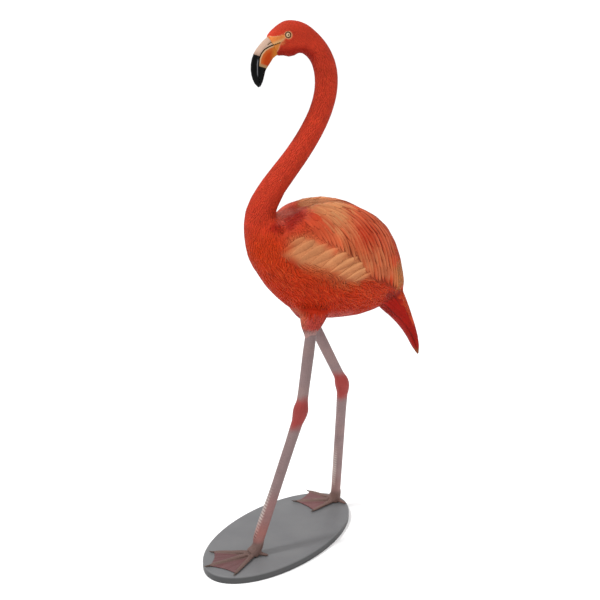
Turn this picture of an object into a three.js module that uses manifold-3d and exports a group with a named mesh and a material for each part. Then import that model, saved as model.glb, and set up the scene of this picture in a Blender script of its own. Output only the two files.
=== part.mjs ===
// A life-size walking flamingo statue, cast in resin on an oval base plate.
// Millimetres, +Z up. The bird walks towards -Y and its left side is +X. The origin is the centre of
// the plate's underside, and the bird's plane of symmetry is x = 0.
//
// The body is a few closed lofts: a primitive (cylinder or sphere) is bent onto a spine and given a
// section at each station. Neighbours are then cut back from each other by a small joint gap.

import * as THREE from 'three';
import { mergeVertices } from 'three/addons/utils/BufferGeometryUtils.js';
import Module from 'manifold-3d';

const wasm = await Module();
wasm.setup();

// ---------------------------------------------------------------- driving dimensions

const GAP = 0.35; // joint gap between neighbouring pieces

const PLATE = { length: 543, width: 284, thickness: 22, edge: 4, turn: 28.1 }; // degrees from -Y to +X

const TRUNK = {
  centre: [150, 835], // y, z of its middle in the plane of symmetry
  tilt: -30, // degrees its long axis drops towards the tail
  front: -252, // stations along the long axis, from the middle
  back: 236,
};

const WING = { front: -205, back: 236 }; // stations along the trunk's axis

const TAIL_TIP = [429, 521]; // y, z

const LEG = { tibia: 15.6, ankle: 21.2, tarsus: 14.8, instep: 14.2, footRoot: 19.5 }; // radii
// toesTurn: degrees that the middle toe points outwards. toes: from the inner side to the outer one,
// each with its length and its angle from the middle toe.
const LEFT = {
  name: 'left',
  side: 1,
  knee: [45, 87, 715],
  ankle: [62, 44, 429],
  heel: [90, -102],
  toesTurn: 4.5,
  toes: [[127, -29], [147, 0], [112, 38]],
};
const RIGHT = {
  name: 'right',
  side: -1,
  knee: [-45, 82, 715],
  ankle: [-58, 218, 438],
  heel: [-103, 218],
  toesTurn: 17,
  toes: [[99, -39], [131, 0], [105, 37]],
};
const ANKLE_SPAN = 34; // half the length of the swollen ankle along the leg
const THIGH_END = 92; // how far below the knee the feathered thigh ends
const FOOT_TOP = 64; // height at which the tarsus becomes the foot
const SOLE_LEVEL = PLATE.thickness + GAP;

const TOE = { rootRadius: 7.5, tipRadius: 3.2, flatness: 0.72, webThickness: 3.6 };
const CLAW_SHARE = 0.078; // of a toe's length
// The hind toe of both feet points backwards and to the bird's left. spread: degrees from the middle
// toe, in the foot's own frame, before the toes are turned outwards.
const HALLUX = { length: 36, spread: -146, radius: 7, taper: 0.58 };

const EYE = { y: 22, z: 1416.5, radius: 8.4, standOff: 16.6 };

// ---------------------------------------------------------------- small helpers

const rad = THREE.MathUtils.degToRad;
const sagittal = (y, z) => new THREE.Vector3(0, y, z);
const LEFTWARDS = new THREE.Vector3(1, 0, 0); // the bird's left

/** Smooth interpolation through [station, value] pairs. */
function profile(pairs) {
  const curve = new THREE.SplineCurve(pairs.map(([s, v]) => new THREE.Vector2(s, v)));
  const samples = curve.getPoints(pairs.length * 12);
  return (s) => {
    const last = samples.length - 1;
    if (s <= samples[0].x) return samples[0].y;
    if (s >= samples[last].x) return samples[last].y;
    let i = 1;
    while (samples[i].x < s) i += 1;
    const [a, b] = [samples[i - 1], samples[i]];
    return THREE.MathUtils.lerp(a.y, b.y, (s - a.x) / Math.max(b.x - a.x, 1e-9));
  };
}

/**
 * Bends a primitive onto a spine. The primitive's axis becomes t = 0..1, and each of its rings is
 * placed in the plane of the spine's side and up axes. round = true closes the ends with poles,
 * otherwise they are flat caps.
 */
function loft({ place, rings, sides, round = false }) {
  const made = round
    ? new THREE.SphereGeometry(1, sides, rings)
    : new THREE.CylinderGeometry(1, 1, 1, sides, rings);
  const position = made.attributes.position;
  for (let i = 0; i < position.count; i += 1) {
    const [x, y, z] = [position.getX(i), position.getY(i), position.getZ(i)];
    const t = round ? Math.acos(THREE.MathUtils.clamp(y, -1, 1)) / Math.PI : 0.5 - y;
    const reach = Math.hypot(x, z);
    const share = round ? reach / Math.max(Math.sin(t * Math.PI), 1e-9) : reach;
    const angle = Math.atan2(x, z);
    const p = place(t, angle, round && reach < 1e-6 ? 0 : Math.min(share, 1));
    position.setXYZ(i, p.x, p.y, p.z);
  }
  return made;
}

/** A closed geometry as a manifold, right side out and grown along its normals if asked. */
function solid(geometry, grow = 0) {
  const bare = geometry.index ? geometry.toNonIndexed() : geometry.clone();
  bare.deleteAttribute('normal');
  bare.deleteAttribute('uv');
  const merged = mergeVertices(bare, 1e-3);
  const triVerts = new Uint32Array(merged.index.array);
  const build = (vertProperties) =>
    new wasm.Manifold(new wasm.Mesh({ numProp: 3, vertProperties, triVerts }));
  if (build(merged.attributes.position.array).volume() < 0) {
    for (let i = 0; i < triVerts.length; i += 3) {
      [triVerts[i + 1], triVerts[i + 2]] = [triVerts[i + 2], triVerts[i + 1]];
    }
    merged.setIndex(new THREE.BufferAttribute(triVerts, 1));
  }
  merged.computeVertexNormals();
  const { position, normal } = merged.attributes;
  const grown = position.array.map((value, i) => value + grow * normal.array[i]);
  return build(grown);
}

/**
 * A tube along a 3-D curve, from t0 to t1, with a section at each station: half-sizes to the side,
 * up and down. side is the direction that the section's width lies in.
 */
function tube({ curve, section, t0 = 0, t1 = 1, rings = 10, sides = 16, side = LEFTWARDS }) {
  const form = loft({
    rings,
    sides,
    place: (share, angle, reach) => {
      const t = THREE.MathUtils.lerp(t0, t1, share);
      const centre = curve.getPointAt(t);
      const along = curve.getTangentAt(t);
      const up = new THREE.Vector3().crossVectors(along, side).normalize();
      const across = new THREE.Vector3().crossVectors(up, along).normalize();
      const { width, top, bottom } = section(t);
      const height = Math.cos(angle) > 0 ? top : bottom;
      return centre
        .addScaledVector(across, reach * width * Math.sin(angle))
        .addScaledVector(up, reach * height * Math.cos(angle));
    },
  });
  return solid(form);
}

// ---------------------------------------------------------------- trunk, wings and tail

const trunkCentre = sagittal(...TRUNK.centre);
const trunkAlong = sagittal(Math.cos(rad(TRUNK.tilt)), Math.sin(rad(TRUNK.tilt)));
const trunkUp = sagittal(-Math.sin(rad(TRUNK.tilt)), Math.cos(rad(TRUNK.tilt)));

/** A point given by its station along the trunk, its height over the long axis and its side. */
const trunkPoint = (s, n, x) =>
  trunkCentre.clone().addScaledVector(trunkAlong, s).addScaledVector(trunkUp, n).setX(x);

const backLine = profile([
  [-252, 0], [-235, 28], [-200, 56], [-150, 86], [-90, 118], [-30, 143], [40, 154], [100, 139],
  [160, 101], [203, 59], [226, 33], [236, 6],
]);
const bellyLine = profile([
  [-252, 0], [-240, -55], [-205, -96], [-155, -132], [-110, -152], [-50, -168], [0, -174],
  [60, -157], [115, -128], [160, -99], [195, -62], [222, -28], [236, 6],
]);
const trunkWidth = profile([
  [-252, 0], [-240, 38], [-205, 66], [-150, 88], [-80, 101], [0, 104], [70, 99], [130, 86],
  [185, 64], [222, 34], [236, 0],
]);

/** Stations crowd towards both ends, as the rings of a sphere do. */
const eased = (t, from, to) => THREE.MathUtils.lerp(from, to, (1 - Math.cos(t * Math.PI)) / 2);

function trunkSolid(grow) {
  const form = loft({
    round: true,
    rings: 18,
    sides: 24,
    place: (t, angle, reach) => {
      const s = eased(t, TRUNK.front, TRUNK.back);
      const [top, bottom] = [backLine(s), bellyLine(s)];
      const middle = THREE.MathUtils.lerp(bottom, top, 0.55);
      const height = Math.cos(angle) > 0 ? top - middle : middle - bottom;
      const keel = 1 - 0.14 * Math.max(0, -Math.cos(angle)); // narrower under the middle
      const x = reach * trunkWidth(s) * Math.sin(angle) * keel;
      return trunkPoint(s, middle + reach * height * Math.cos(angle), x);
    },
  });
  return solid(form, grow);
}

const shoulderLine = profile([
  [-205, 8], [-190, 44], [-172, 72], [-131, 113], [-82, 142], [-29, 157], [27, 162], [92, 148],
  [152, 108], [198, 64], [222, 40], [236, 15],
]);
const wingEdge = profile([
  [-205, 10], [-195, -22], [-165, -48], [-110, -60], [-40, -60], [40, -38], [110, -14],
  [170, -2], [215, 3], [236, 15],
]);
const wingReach = profile([ // how far out the wing's middle line stands, from x = 0
  [-205, 52], [-150, 61], [-60, 65], [40, 61], [120, 49], [190, 33], [236, 20],
]);
const wingThickness = profile([
  [-205, 0], [-190, 19], [-150, 38], [-80, 50], [0, 54], [80, 50], [150, 38], [205, 24], [236, 0],
]);

function wingSolid(side, grow) {
  const form = loft({
    round: true,
    rings: 15,
    sides: 16,
    place: (t, angle, reach) => {
      const s = eased(t, WING.front, WING.back);
      const [top, bottom] = [shoulderLine(s), wingEdge(s)];
      const middle = (top + bottom) / 2;
      const n = middle + reach * ((top - bottom) / 2) * Math.cos(angle);
      // The wing leans in over the back, so its upper edge lies nearer the middle than its lower one.
      const lean = 0.16 * (n - middle) + (n > middle ? 0.0012 * (n - middle) ** 2 : 0);
      const x = wingReach(s) - lean + reach * wingThickness(s) * Math.sin(angle);
      return trunkPoint(s, n, side * x);
    },
  });
  return solid(form, grow);
}

const tailSpine = new THREE.CatmullRomCurve3([
  sagittal(288, 776), sagittal(334, 709), sagittal(373, 650), sagittal(405, 589), sagittal(...TAIL_TIP),
]);
const tailDepth = profile([[0, 46], [0.25, 44], [0.5, 29], [0.7, 19], [0.88, 12], [1, 3.5]]);
const tailWidth = profile([[0, 46], [0.25, 44], [0.5, 35], [0.75, 26], [0.92, 16], [1, 6]]);
const tailSolid = () =>
  tube({
    curve: tailSpine,
    rings: 9,
    sides: 14,
    section: (t) => ({ width: tailWidth(t), top: tailDepth(t) * 1.08, bottom: tailDepth(t) * 0.92 }),
  });

// ---------------------------------------------------------------- neck and head

const neckSpine = new THREE.CatmullRomCurve3([
  sagittal(60, 830), sagittal(-8, 868), sagittal(-42, 925), sagittal(-46, 975), sagittal(-23, 1025),
  sagittal(15, 1075), sagittal(55, 1125), sagittal(89, 1175), sagittal(115, 1225),
  sagittal(130, 1275), sagittal(131, 1322), sagittal(117, 1365), sagittal(88, 1397),
  sagittal(58, 1411), sagittal(30, 1410), sagittal(4, 1402), sagittal(-18, 1386),
]);
const neckLength = neckSpine.getLength();

/** Where along the neck the spine is nearest to a point of the plane of symmetry. */
function alongNeck(y, z) {
  const target = sagittal(y, z);
  const steps = 600;
  let best = 0;
  let nearest = Infinity;
  for (let i = 0; i <= steps; i += 1) {
    const distance = neckSpine.getPointAt(i / steps).distanceTo(target);
    if (distance < nearest) [nearest, best] = [distance, i / steps];
  }
  return best;
}

// y, z, half-width, then the half-depths towards the nape and crown and towards the throat.
const neckStations = [
  [60, 830, 84, 82, 82], [-8, 868, 72, 70, 74], [-42, 925, 50, 48, 51], [-46, 975, 40, 38, 41],
  [-23, 1025, 34, 35, 34.8], [15, 1075, 31.5, 33, 31.3], [55, 1125, 29.5, 31, 29.5],
  [115, 1225, 28, 30, 28.7], [131, 1322, 27.5, 30, 30], [117, 1365, 27, 28.5, 30],
  [88, 1397, 26.5, 30, 32], [58, 1411, 27, 36.5, 42], [30, 1410, 26.5, 41, 46],
  [4, 1402, 21.5, 32, 40.5], [-18, 1386, 16, 23, 26],
].map(([y, z, ...sizes]) => [alongNeck(y, z), ...sizes]);
const neckWidth = profile(neckStations.map(([t, width]) => [t, width]));
const neckBack = profile(neckStations.map(([t, , back]) => [t, back]));
const neckFront = profile(neckStations.map(([t, , , front]) => [t, front]));

// The spine climbs the S, so its up axis points to the back of the neck and then to the crown.
const neckPiece = (from, to, rings) =>
  tube({
    curve: neckSpine,
    t0: from,
    t1: to,
    rings,
    sides: 16,
    section: (t) => ({ width: neckWidth(t), top: neckBack(t), bottom: neckFront(t) }),
  });

// ---------------------------------------------------------------- bill

const billSpine = new THREE.CatmullRomCurve3([
  sagittal(-4, 1397), sagittal(-13, 1390.5), sagittal(-26, 1380.5), sagittal(-37, 1366.5),
  sagittal(-44.5, 1353), sagittal(-49.3, 1339), sagittal(-50.5, 1324.5), sagittal(-49.8, 1311),
  sagittal(-47.8, 1299), sagittal(-46.5, 1292.5),
]);
const billDepth = profile([
  [0, 24], [0.1, 23.8], [0.24, 22.4], [0.38, 22.8], [0.5, 21.4], [0.62, 18.6], [0.74, 16],
  [0.86, 12.2], [0.95, 7.5], [1, 2.5],
]);
const billWidth = profile([
  [0, 17], [0.15, 16.5], [0.35, 16], [0.5, 14.8], [0.65, 13], [0.8, 10.5], [0.92, 7], [1, 2.4],
]);
const billSag = profile([[0, 1], [0.2, 3], [0.8, 3], [1, 0.8]]); // the under side hangs a little deeper
const billSolid = tube({
  curve: billSpine,
  rings: 12,
  sides: 14,
  section: (t) => ({ width: billWidth(t), top: billDepth(t), bottom: billDepth(t) + billSag(t) }),
});

/** The side view of everything on the culmen's side of the mouth line, moved by an offset. */
function overTheMouth(offset) {
  const mouth = [[40, 1412], [3, 1398.7], [-11, 1394], [-24, 1389.5], [-35.5, 1383], [-44, 1373.5],
    [-49, 1362], [-51, 1346], [-50.5, 1326], [-48, 1308], [-44, 1285]];
  const line = new THREE.SplineCurve(mouth.map(([y, z]) => new THREE.Vector2(y - offset, z + offset)));
  const shape = new THREE.Shape(line.getPoints(14));
  shape.lineTo(-160, 1285);
  shape.lineTo(-160, 1500);
  shape.lineTo(40, 1500);
  const depth = 120;
  const slab = new THREE.ExtrudeGeometry(shape, { depth, bevelEnabled: false });
  slab.translate(0, 0, -depth / 2);
  // The shape's own x and y are the bird's y and z.
  slab.applyMatrix4(new THREE.Matrix4().set(0, 0, 1, 0, 1, 0, 0, 0, 0, 1, 0, 0, 0, 0, 0, 1));
  return solid(slab);
}

/** Everything behind the slanting face where the bill grows out of the head. */
function behindFace(offset) {
  const size = 400;
  const slab = new THREE.BoxGeometry(size, size, size);
  slab.translate(0, size / 2, 0);
  slab.rotateX(rad(31));
  slab.translate(0, -12.5 + offset, 1390.5);
  return solid(slab);
}

const eyeBall = (side, grow) => {
  const ball = new THREE.SphereGeometry(EYE.radius, 12, 8);
  ball.translate(side * EYE.standOff, EYE.y, EYE.z);
  return solid(ball, grow);
};

// ---------------------------------------------------------------- legs

/** The leg's middle line, from the knee hidden in the body to the heel, with a rounded ankle. */
function legCurve({ knee: hidden, ankle, heel }) {
  const knee = new THREE.Vector3(...hidden);
  const joint = new THREE.Vector3(...ankle);
  const ground = new THREE.Vector3(...heel, PLATE.thickness + 10);
  const path = new THREE.CurvePath();
  const bend = 26;
  const above = joint.clone().lerp(knee, bend / joint.distanceTo(knee));
  const below = joint.clone().lerp(ground, bend / joint.distanceTo(ground));
  path.add(new THREE.LineCurve3(knee, above));
  path.add(new THREE.QuadraticBezierCurve3(above, joint, below));
  path.add(new THREE.LineCurve3(below, ground));
  return path;
}

/** Everything under a level. */
function belowLevel(z) {
  const size = 1200;
  const slab = new THREE.BoxGeometry(size, size, size);
  slab.translate(0, 0, z - size / 2);
  return solid(slab);
}

function legPieces(leg) {
  const curve = legCurve(leg);
  const length = curve.getLength();
  const at = (distance) => distance / length;
  const ankleAt = curve.curves[0].getLength() + curve.curves[1].getLength() / 2;
  const footAt = length - (FOOT_TOP - PLATE.thickness - 10);
  const swell = profile([[-1.25, 0], [-0.75, 0.25], [-0.3, 0.85], [0.05, 1], [0.45, 0.75], [1.2, 0]]);
  const radius = (distance) => {
    const shaft = distance < ankleAt
      ? THREE.MathUtils.lerp(LEG.tibia + 1.2, LEG.tibia - 1, distance / ankleAt)
      : THREE.MathUtils.lerp(LEG.tarsus, LEG.instep, (distance - ankleAt) / (footAt - ankleAt));
    return shaft + (LEG.ankle - shaft) * swell((distance - ankleAt) / ANKLE_SPAN);
  };
  const section = (t) => {
    const r = radius(t * length);
    return { width: r * 0.94, top: r, bottom: r };
  };
  const piece = (from, to, rings) =>
    tube({ curve, t0: at(from), t1: at(to), rings, sides: 12, section });
  const thighFront = profile([[0, 44], [35, 37], [52, 32.5], [65, 28], [80, 22], [THIGH_END, 17.8]]);
  const thighRear = profile([[0, 46], [35, 35], [52, 26], [65, 20.5], [80, 17.6], [THIGH_END, 16.8]]);
  const thigh = tube({
    curve,
    t0: 0,
    t1: at(THIGH_END),
    rings: 7,
    sides: 14,
    section: (t) => {
      const [top, bottom] = [thighFront(t * length), thighRear(t * length)];
      return { width: 0.42 * (top + bottom), top, bottom };
    },
  });
  return {
    thigh,
    tibia: piece(THIGH_END + GAP, ankleAt - ANKLE_SPAN, 5),
    ankle: piece(ankleAt - ANKLE_SPAN + GAP, ankleAt + ANKLE_SPAN, 8),
    tarsus: piece(ankleAt + ANKLE_SPAN + GAP, footAt + 12, 6).subtract(belowLevel(FOOT_TOP + GAP)),
    footAt: curve.getPointAt(at(footAt - 8)),
  };
}

// ---------------------------------------------------------------- feet

/** A foot in its own frame: heel at the origin, middle toe along +Y, sole at z = 0. */
function footSolid(toes, rise) {
  const direction = (spread) => new THREE.Vector3(Math.sin(rad(spread)), Math.cos(rad(spread)), 0);
  const toe = ([length, spread]) => {
    const way = direction(spread);
    const root = way.clone().multiplyScalar(4);
    const knuckle = way.clone().multiplyScalar(length * 0.45);
    const tip = way.clone().multiplyScalar(length * (1 - CLAW_SHARE));
    const end = way.clone().multiplyScalar(length);
    const curve = new THREE.CatmullRomCurve3([
      root.setZ(8),
      knuckle.setZ(5.6),
      tip.setZ(3.4),
      end.setZ(1.9),
    ]);
    const size = profile([
      [0, TOE.rootRadius], [0.42, TOE.rootRadius * 0.86], [0.52, TOE.rootRadius * 0.7],
      [0.74, TOE.rootRadius * 0.66], [0.9, TOE.tipRadius], [1, 1.4],
    ]);
    const across = new THREE.Vector3().crossVectors(way, new THREE.Vector3(0, 0, 1));
    return tube({
      curve,
      rings: 6,
      sides: 6,
      side: across,
      section: (t) => ({ width: size(t), top: size(t) * TOE.flatness, bottom: size(t) * TOE.flatness }),
    });
  };
  const web = new THREE.Shape();
  const webEnd = ([length, spread]) => direction(spread).multiplyScalar(length * (1 - CLAW_SHARE) - 1);
  const tips = toes.map(webEnd);
  web.moveTo(-9, 4);
  web.lineTo(tips[0].x, tips[0].y);
  for (let i = 1; i < tips.length; i += 1) {
    const hollow = tips[i - 1].clone().add(tips[i]).multiplyScalar(0.5 * 0.89);
    web.quadraticCurveTo(hollow.x, hollow.y, tips[i].x, tips[i].y);
  }
  web.lineTo(9, 4);
  const webSolid = solid(new THREE.ExtrudeGeometry(web, {
    depth: TOE.webThickness, bevelEnabled: false, curveSegments: 5,
  }));
  const instep = tube({
    curve: new THREE.CatmullRomCurve3([
      rise,
      rise.clone().multiplyScalar(0.45),
      new THREE.Vector3(0, 8, 7),
    ]),
    rings: 3,
    sides: 12,
    section: (t) => {
      const r = THREE.MathUtils.lerp(LEG.instep, LEG.footRoot, t ** 1.4);
      return { width: r * 0.88, top: r, bottom: r };
    },
  });
  const hindWay = direction(HALLUX.spread);
  const hallux = tube({
    curve: new THREE.LineCurve3(
      hindWay.clone().multiplyScalar(4).setZ(8),
      hindWay.clone().multiplyScalar(HALLUX.length).setZ(3),
    ),
    rings: 2,
    sides: 6,
    section: (t) => {
      const r = HALLUX.radius * (1 - HALLUX.taper * t);
      return { width: r, top: r, bottom: r };
    },
  });
  const joined = [webSolid, instep, hallux].reduce((sum, piece) => sum.add(piece), toe(toes[0]))
    .add(toe(toes[1])).add(toe(toes[2]));
  return joined.subtract(belowLevel(0));
}

/** One leg's foot in its own frame, with its toes in order from left to right. */
function footOf(leg, turn, top) {
  const away = top.clone().sub(new THREE.Vector3(...leg.heel, SOLE_LEVEL));
  away.applyAxisAngle(new THREE.Vector3(0, 0, 1), -turn);
  const toes = leg.toes.map(([length, spread]) => [length, -leg.side * spread]);
  if (leg.side > 0) toes.reverse();
  return footSolid(toes, away).intersect(belowLevel(FOOT_TOP - SOLE_LEVEL));
}

// ---------------------------------------------------------------- base plate

function plateSolid() {
  const half = new THREE.Vector2(PLATE.width / 2, PLATE.length / 2);
  const { edge, thickness } = PLATE;
  const rim = [
    new THREE.Vector2(0, 0),
    new THREE.Vector2(half.x - 1.5, 0),
    new THREE.Vector2(half.x, 1.5),
  ];
  for (let i = 0; i <= 2; i += 1) {
    const angle = (i / 2) * (Math.PI / 2);
    const [out, up] = [edge * Math.cos(angle), edge * Math.sin(angle)];
    rim.push(new THREE.Vector2(half.x - edge + out, thickness - edge + up));
  }
  rim.push(new THREE.Vector2(0, thickness));
  const plate = new THREE.LatheGeometry(rim, 56);
  plate.rotateX(Math.PI / 2);
  plate.scale(1, half.y / half.x, 1);
  plate.rotateZ(rad(PLATE.turn));
  return solid(plate);
}

// ---------------------------------------------------------------- assembly

const COLOURS = {
  coral: { color: 0xc23a22, roughness: 0.5 },
  peach: { color: 0xcf7c4e, roughness: 0.5 },
  shell: { color: 0xd2b39c, roughness: 0.3 },
  orange: { color: 0xc8512a, roughness: 0.3 },
  leg: { color: 0xa08283, roughness: 0.55 },
  joint: { color: 0xa8423e, roughness: 0.5 },
  foot: { color: 0x8d6462, roughness: 0.55 },
  eye: { color: 0xd8c48a, roughness: 0.15 },
  plate: { color: 0x828282, roughness: 0.5 },
};

const flamingo = new THREE.Group();
flamingo.name = 'flamingo_statue';

function add(name, manifold, finish) {
  const mesh = manifold.getMesh();
  const geometry = new THREE.BufferGeometry();
  const position = new Float32Array(mesh.numVert * 3);
  for (let i = 0; i < mesh.numVert; i += 1) {
    position.set(mesh.vertProperties.subarray(i * mesh.numProp, i * mesh.numProp + 3), i * 3);
  }
  geometry.setAttribute('position', new THREE.BufferAttribute(position, 3));
  geometry.setIndex(new THREE.BufferAttribute(mesh.triVerts, 1));
  geometry.computeVertexNormals();
  const material = new THREE.MeshStandardMaterial({ ...COLOURS[finish], metalness: 0 });
  const made = new THREE.Mesh(geometry, material);
  made.name = name;
  flamingo.add(made);
  return made;
}

// Each piece is cut back from the grown form of what it grows out of.
const trunk = trunkSolid(0);
const trunkGrown = trunkSolid(GAP);
const wings = { 1: wingSolid(1, 0), '-1': wingSolid(-1, 0) };
const wingsGrown = wingSolid(1, GAP).add(wingSolid(-1, GAP));
const cores = trunkGrown.add(wingsGrown);

const neckCuts = [0, alongNeck(-42, 950), alongNeck(35, 1100), alongNeck(112, 1218), alongNeck(117, 1365)];
const headFrom = alongNeck(84, 1399);
const gapShare = GAP / neckLength;
const neckRoot = neckPiece(0, neckCuts[1], 8).subtract(cores);

add('stand_base', plateSolid(), 'plate');
add('trunk', trunk, 'coral');
add('neck_root', neckRoot, 'coral');
add('neck_lower', neckPiece(neckCuts[1] + gapShare, neckCuts[2], 7).subtract(cores), 'coral');
add('neck_middle', neckPiece(neckCuts[2] + gapShare, neckCuts[3], 8), 'coral');
add('neck_upper', neckPiece(neckCuts[3] + gapShare, neckCuts[4], 8), 'coral');
add('neck_crook', neckPiece(neckCuts[4] + gapShare, headFrom, 3), 'coral');

const head = neckPiece(headFrom + gapShare, 1, 11)
  .intersect(behindFace(GAP / 2))
  .subtract(eyeBall(1, GAP))
  .subtract(eyeBall(-1, GAP));
add('head', head, 'coral');
const billFront = billSolid.subtract(behindFace(-GAP / 2));
add('bill_upper', billFront.intersect(overTheMouth(GAP / 2)), 'shell');
add('bill_lower', billFront.subtract(overTheMouth(-GAP / 2)), 'orange');
add('eye_left', eyeBall(1, 0), 'eye');
add('eye_right', eyeBall(-1, 0), 'eye');

const halfSpace = (side) => {
  const slab = new THREE.BoxGeometry(1000, 3000, 3000);
  slab.translate(side * (500 + GAP / 2), 0, 700);
  return solid(slab);
};
for (const leg of [LEFT, RIGHT]) {
  const own = wings[leg.side].subtract(trunkGrown).intersect(halfSpace(leg.side));
  add(`wing_${leg.name}`, own, 'peach');
}
add('tail', tailSolid().subtract(cores), 'coral');

for (const leg of [LEFT, RIGHT]) {
  const { thigh, tibia, ankle, tarsus, footAt } = legPieces(leg);
  add(`thigh_${leg.name}`, thigh.subtract(cores).intersect(halfSpace(leg.side)), 'coral');
  add(`tibia_${leg.name}`, tibia, 'leg');
  add(`ankle_${leg.name}`, ankle, 'joint');
  add(`tarsus_${leg.name}`, tarsus, 'leg');
  const turn = rad(180 + leg.side * leg.toesTurn);
  const foot = add(`foot_${leg.name}`, footOf(leg, turn, footAt), 'foot');
  foot.position.set(...leg.heel, SOLE_LEVEL);
  foot.rotation.z = turn;
}

export default flamingo;
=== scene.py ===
# %% [markdown]
# # A life-size flamingo statue
# The real object is a painted resin cast of a flamingo, 1.45 m tall, on a flat oval plate.
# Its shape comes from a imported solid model, which is loaded first and never moved.
# Everything here is about what the eye sees: one skin over the body, sculpted feathers
# laid on it, the painted bill, eyes, legs and feet, and the plate.

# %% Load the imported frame
import math

import bmesh
import bpy
import numpy as np
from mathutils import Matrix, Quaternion, Vector, kdtree, noise
from mathutils.bvhtree import BVHTree


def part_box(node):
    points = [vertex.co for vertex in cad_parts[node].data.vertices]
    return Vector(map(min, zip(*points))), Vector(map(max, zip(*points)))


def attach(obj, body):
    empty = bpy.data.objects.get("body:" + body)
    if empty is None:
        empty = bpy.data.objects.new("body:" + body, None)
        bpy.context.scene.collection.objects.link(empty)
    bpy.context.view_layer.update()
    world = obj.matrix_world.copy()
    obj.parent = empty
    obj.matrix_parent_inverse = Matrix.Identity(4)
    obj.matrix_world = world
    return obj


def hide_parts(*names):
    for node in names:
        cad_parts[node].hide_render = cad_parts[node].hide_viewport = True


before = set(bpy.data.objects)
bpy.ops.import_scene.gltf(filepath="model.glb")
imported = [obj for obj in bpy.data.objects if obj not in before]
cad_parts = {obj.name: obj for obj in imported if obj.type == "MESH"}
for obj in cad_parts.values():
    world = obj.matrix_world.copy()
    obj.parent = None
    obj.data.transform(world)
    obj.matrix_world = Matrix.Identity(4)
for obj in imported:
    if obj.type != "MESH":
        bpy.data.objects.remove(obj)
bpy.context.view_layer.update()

MM = 0.001
LEAST_SHARE = 0.01  # points with less of a smoothing are left as they are

# %% [markdown]
# ## Camera and light
# The camera stands to the left and a little in front of the bird, with a long lens,
# and looks 18 degrees down. A statue like this is shown in a white light tent: a bright
# even surround, one large soft lamp high up before the breast, and a pale floor.

# %% Camera
CAMERA_PLACE = Vector((2.1775, -0.7295, 1.4800))
CAMERA_HEADING = Vector((-0.940, 0.342, 0.0))
CAMERA_DOWN = math.radians(18)
CAMERA_ROLL = math.radians(0.15)

camera = bpy.data.objects.new("camera", bpy.data.cameras.new("camera"))
camera.data.lens = 54
camera.data.sensor_width = 36
camera.location = CAMERA_PLACE
camera_forward = CAMERA_HEADING.normalized() * math.cos(CAMERA_DOWN)
camera_forward.z = -math.sin(CAMERA_DOWN)
camera.rotation_mode = "QUATERNION"
camera.rotation_quaternion = camera_forward.to_track_quat("-Z", "Y") @ Quaternion((0, 0, 1), CAMERA_ROLL)
scene = bpy.context.scene
scene.collection.objects.link(camera)
scene.camera = camera
scene.view_settings.view_transform = "Standard"
print("camera", tuple(round(c, 3) for c in camera.location))


# %% Lamps and surround
def lamp(name, aim, away, distance, size, power):
    """A round area lamp, distance metres from aim in the direction away."""
    data = bpy.data.lights.new(name, "AREA")
    data.shape = "DISK"
    data.size = size
    data.energy = power
    made = bpy.data.objects.new(name, data)
    made.location = Vector(aim) + Vector(away).normalized() * distance
    made.rotation_mode = "QUATERNION"
    made.rotation_quaternion = (-Vector(away)).to_track_quat("-Z", "Y")
    scene.collection.objects.link(made)


BODY_MIDDLE = (0, 0.10, 0.80)
lamp("key_softbox", BODY_MIDDLE, (0.0, -0.53, 0.85), 3.2, 0.4, 66)
lamp("fill_softbox", BODY_MIDDLE, (0.9, -0.35, 0.45), 3.6, 2.0, 14)

surround = bpy.data.worlds.new("light_tent")
surround.use_nodes = True
surround.node_tree.nodes["Background"].inputs["Color"].default_value = (1, 1, 1, 1)
surround.node_tree.nodes["Background"].inputs["Strength"].default_value = 1.1
scene.world = surround

# %% [markdown]
# ## Helpers for colour, materials and meshes
# Colours are written as the hex values a painter would read off a swatch and turned
# to linear light once. One function adds a shader node with its settings and links.


# %% Colour and node helpers
def linear(swatch):
    """An sRGB hex colour as three linear numbers."""
    parts = np.array([int(swatch[i : i + 2], 16) / 255 for i in (1, 3, 5)])
    return np.where(parts <= 0.04045, parts / 12.92, ((parts + 0.055) / 1.055) ** 2.4)


LIGHT_LEVEL = 1.32  # how much brighter than its own colour a matt surface looks in this tent
SHEEN_LEVEL = 0.010  # the white that the satin surface adds by reflection


def pigment(swatch):
    """The paint that looks like the swatch in the tent's light, as three linear numbers."""
    return np.clip((linear(swatch) - SHEEN_LEVEL) / LIGHT_LEVEL, 0.001, 1)


def shader(swatch):
    """The same paint as the four numbers a shader socket takes."""
    return (*pigment(swatch), 1.0)


def set_inputs(tree, node, inputs):
    """Sets each input of the node to a value, or links it to a socket."""
    for key, value in inputs.items():
        if isinstance(value, bpy.types.NodeSocket):
            tree.links.new(value, node.inputs[key])
        else:
            node.inputs[key].default_value = value


def add_node(tree, kind, inputs=None, **settings):
    """A node with its settings, and its inputs set to a value or linked to a socket."""
    node = tree.nodes.new(kind)
    for key, value in settings.items():
        setattr(node, key, value)
    set_inputs(tree, node, inputs or {})
    return node


def noise_of(tree, place, scale, detail):
    """Noise at place, with scale features to the metre."""
    where = {"Vector": place, "Scale": scale, "Detail": detail}
    return add_node(tree, "ShaderNodeTexNoise", where).outputs["Fac"]


def mapped(tree, value, low, high, start=0.3, end=0.7):
    """value mapped from start..end to low..high."""
    span = {"Value": value, "From Min": start, "From Max": end, "To Min": low, "To Max": high}
    return add_node(tree, "ShaderNodeMapRange", span).outputs["Result"]


def toned(tree, colour, tone):
    """colour made lighter or darker by tone."""
    scaled = add_node(tree, "ShaderNodeVectorMath", {0: colour, "Scale": tone}, operation="SCALE")
    return scaled.outputs["Vector"]


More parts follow.
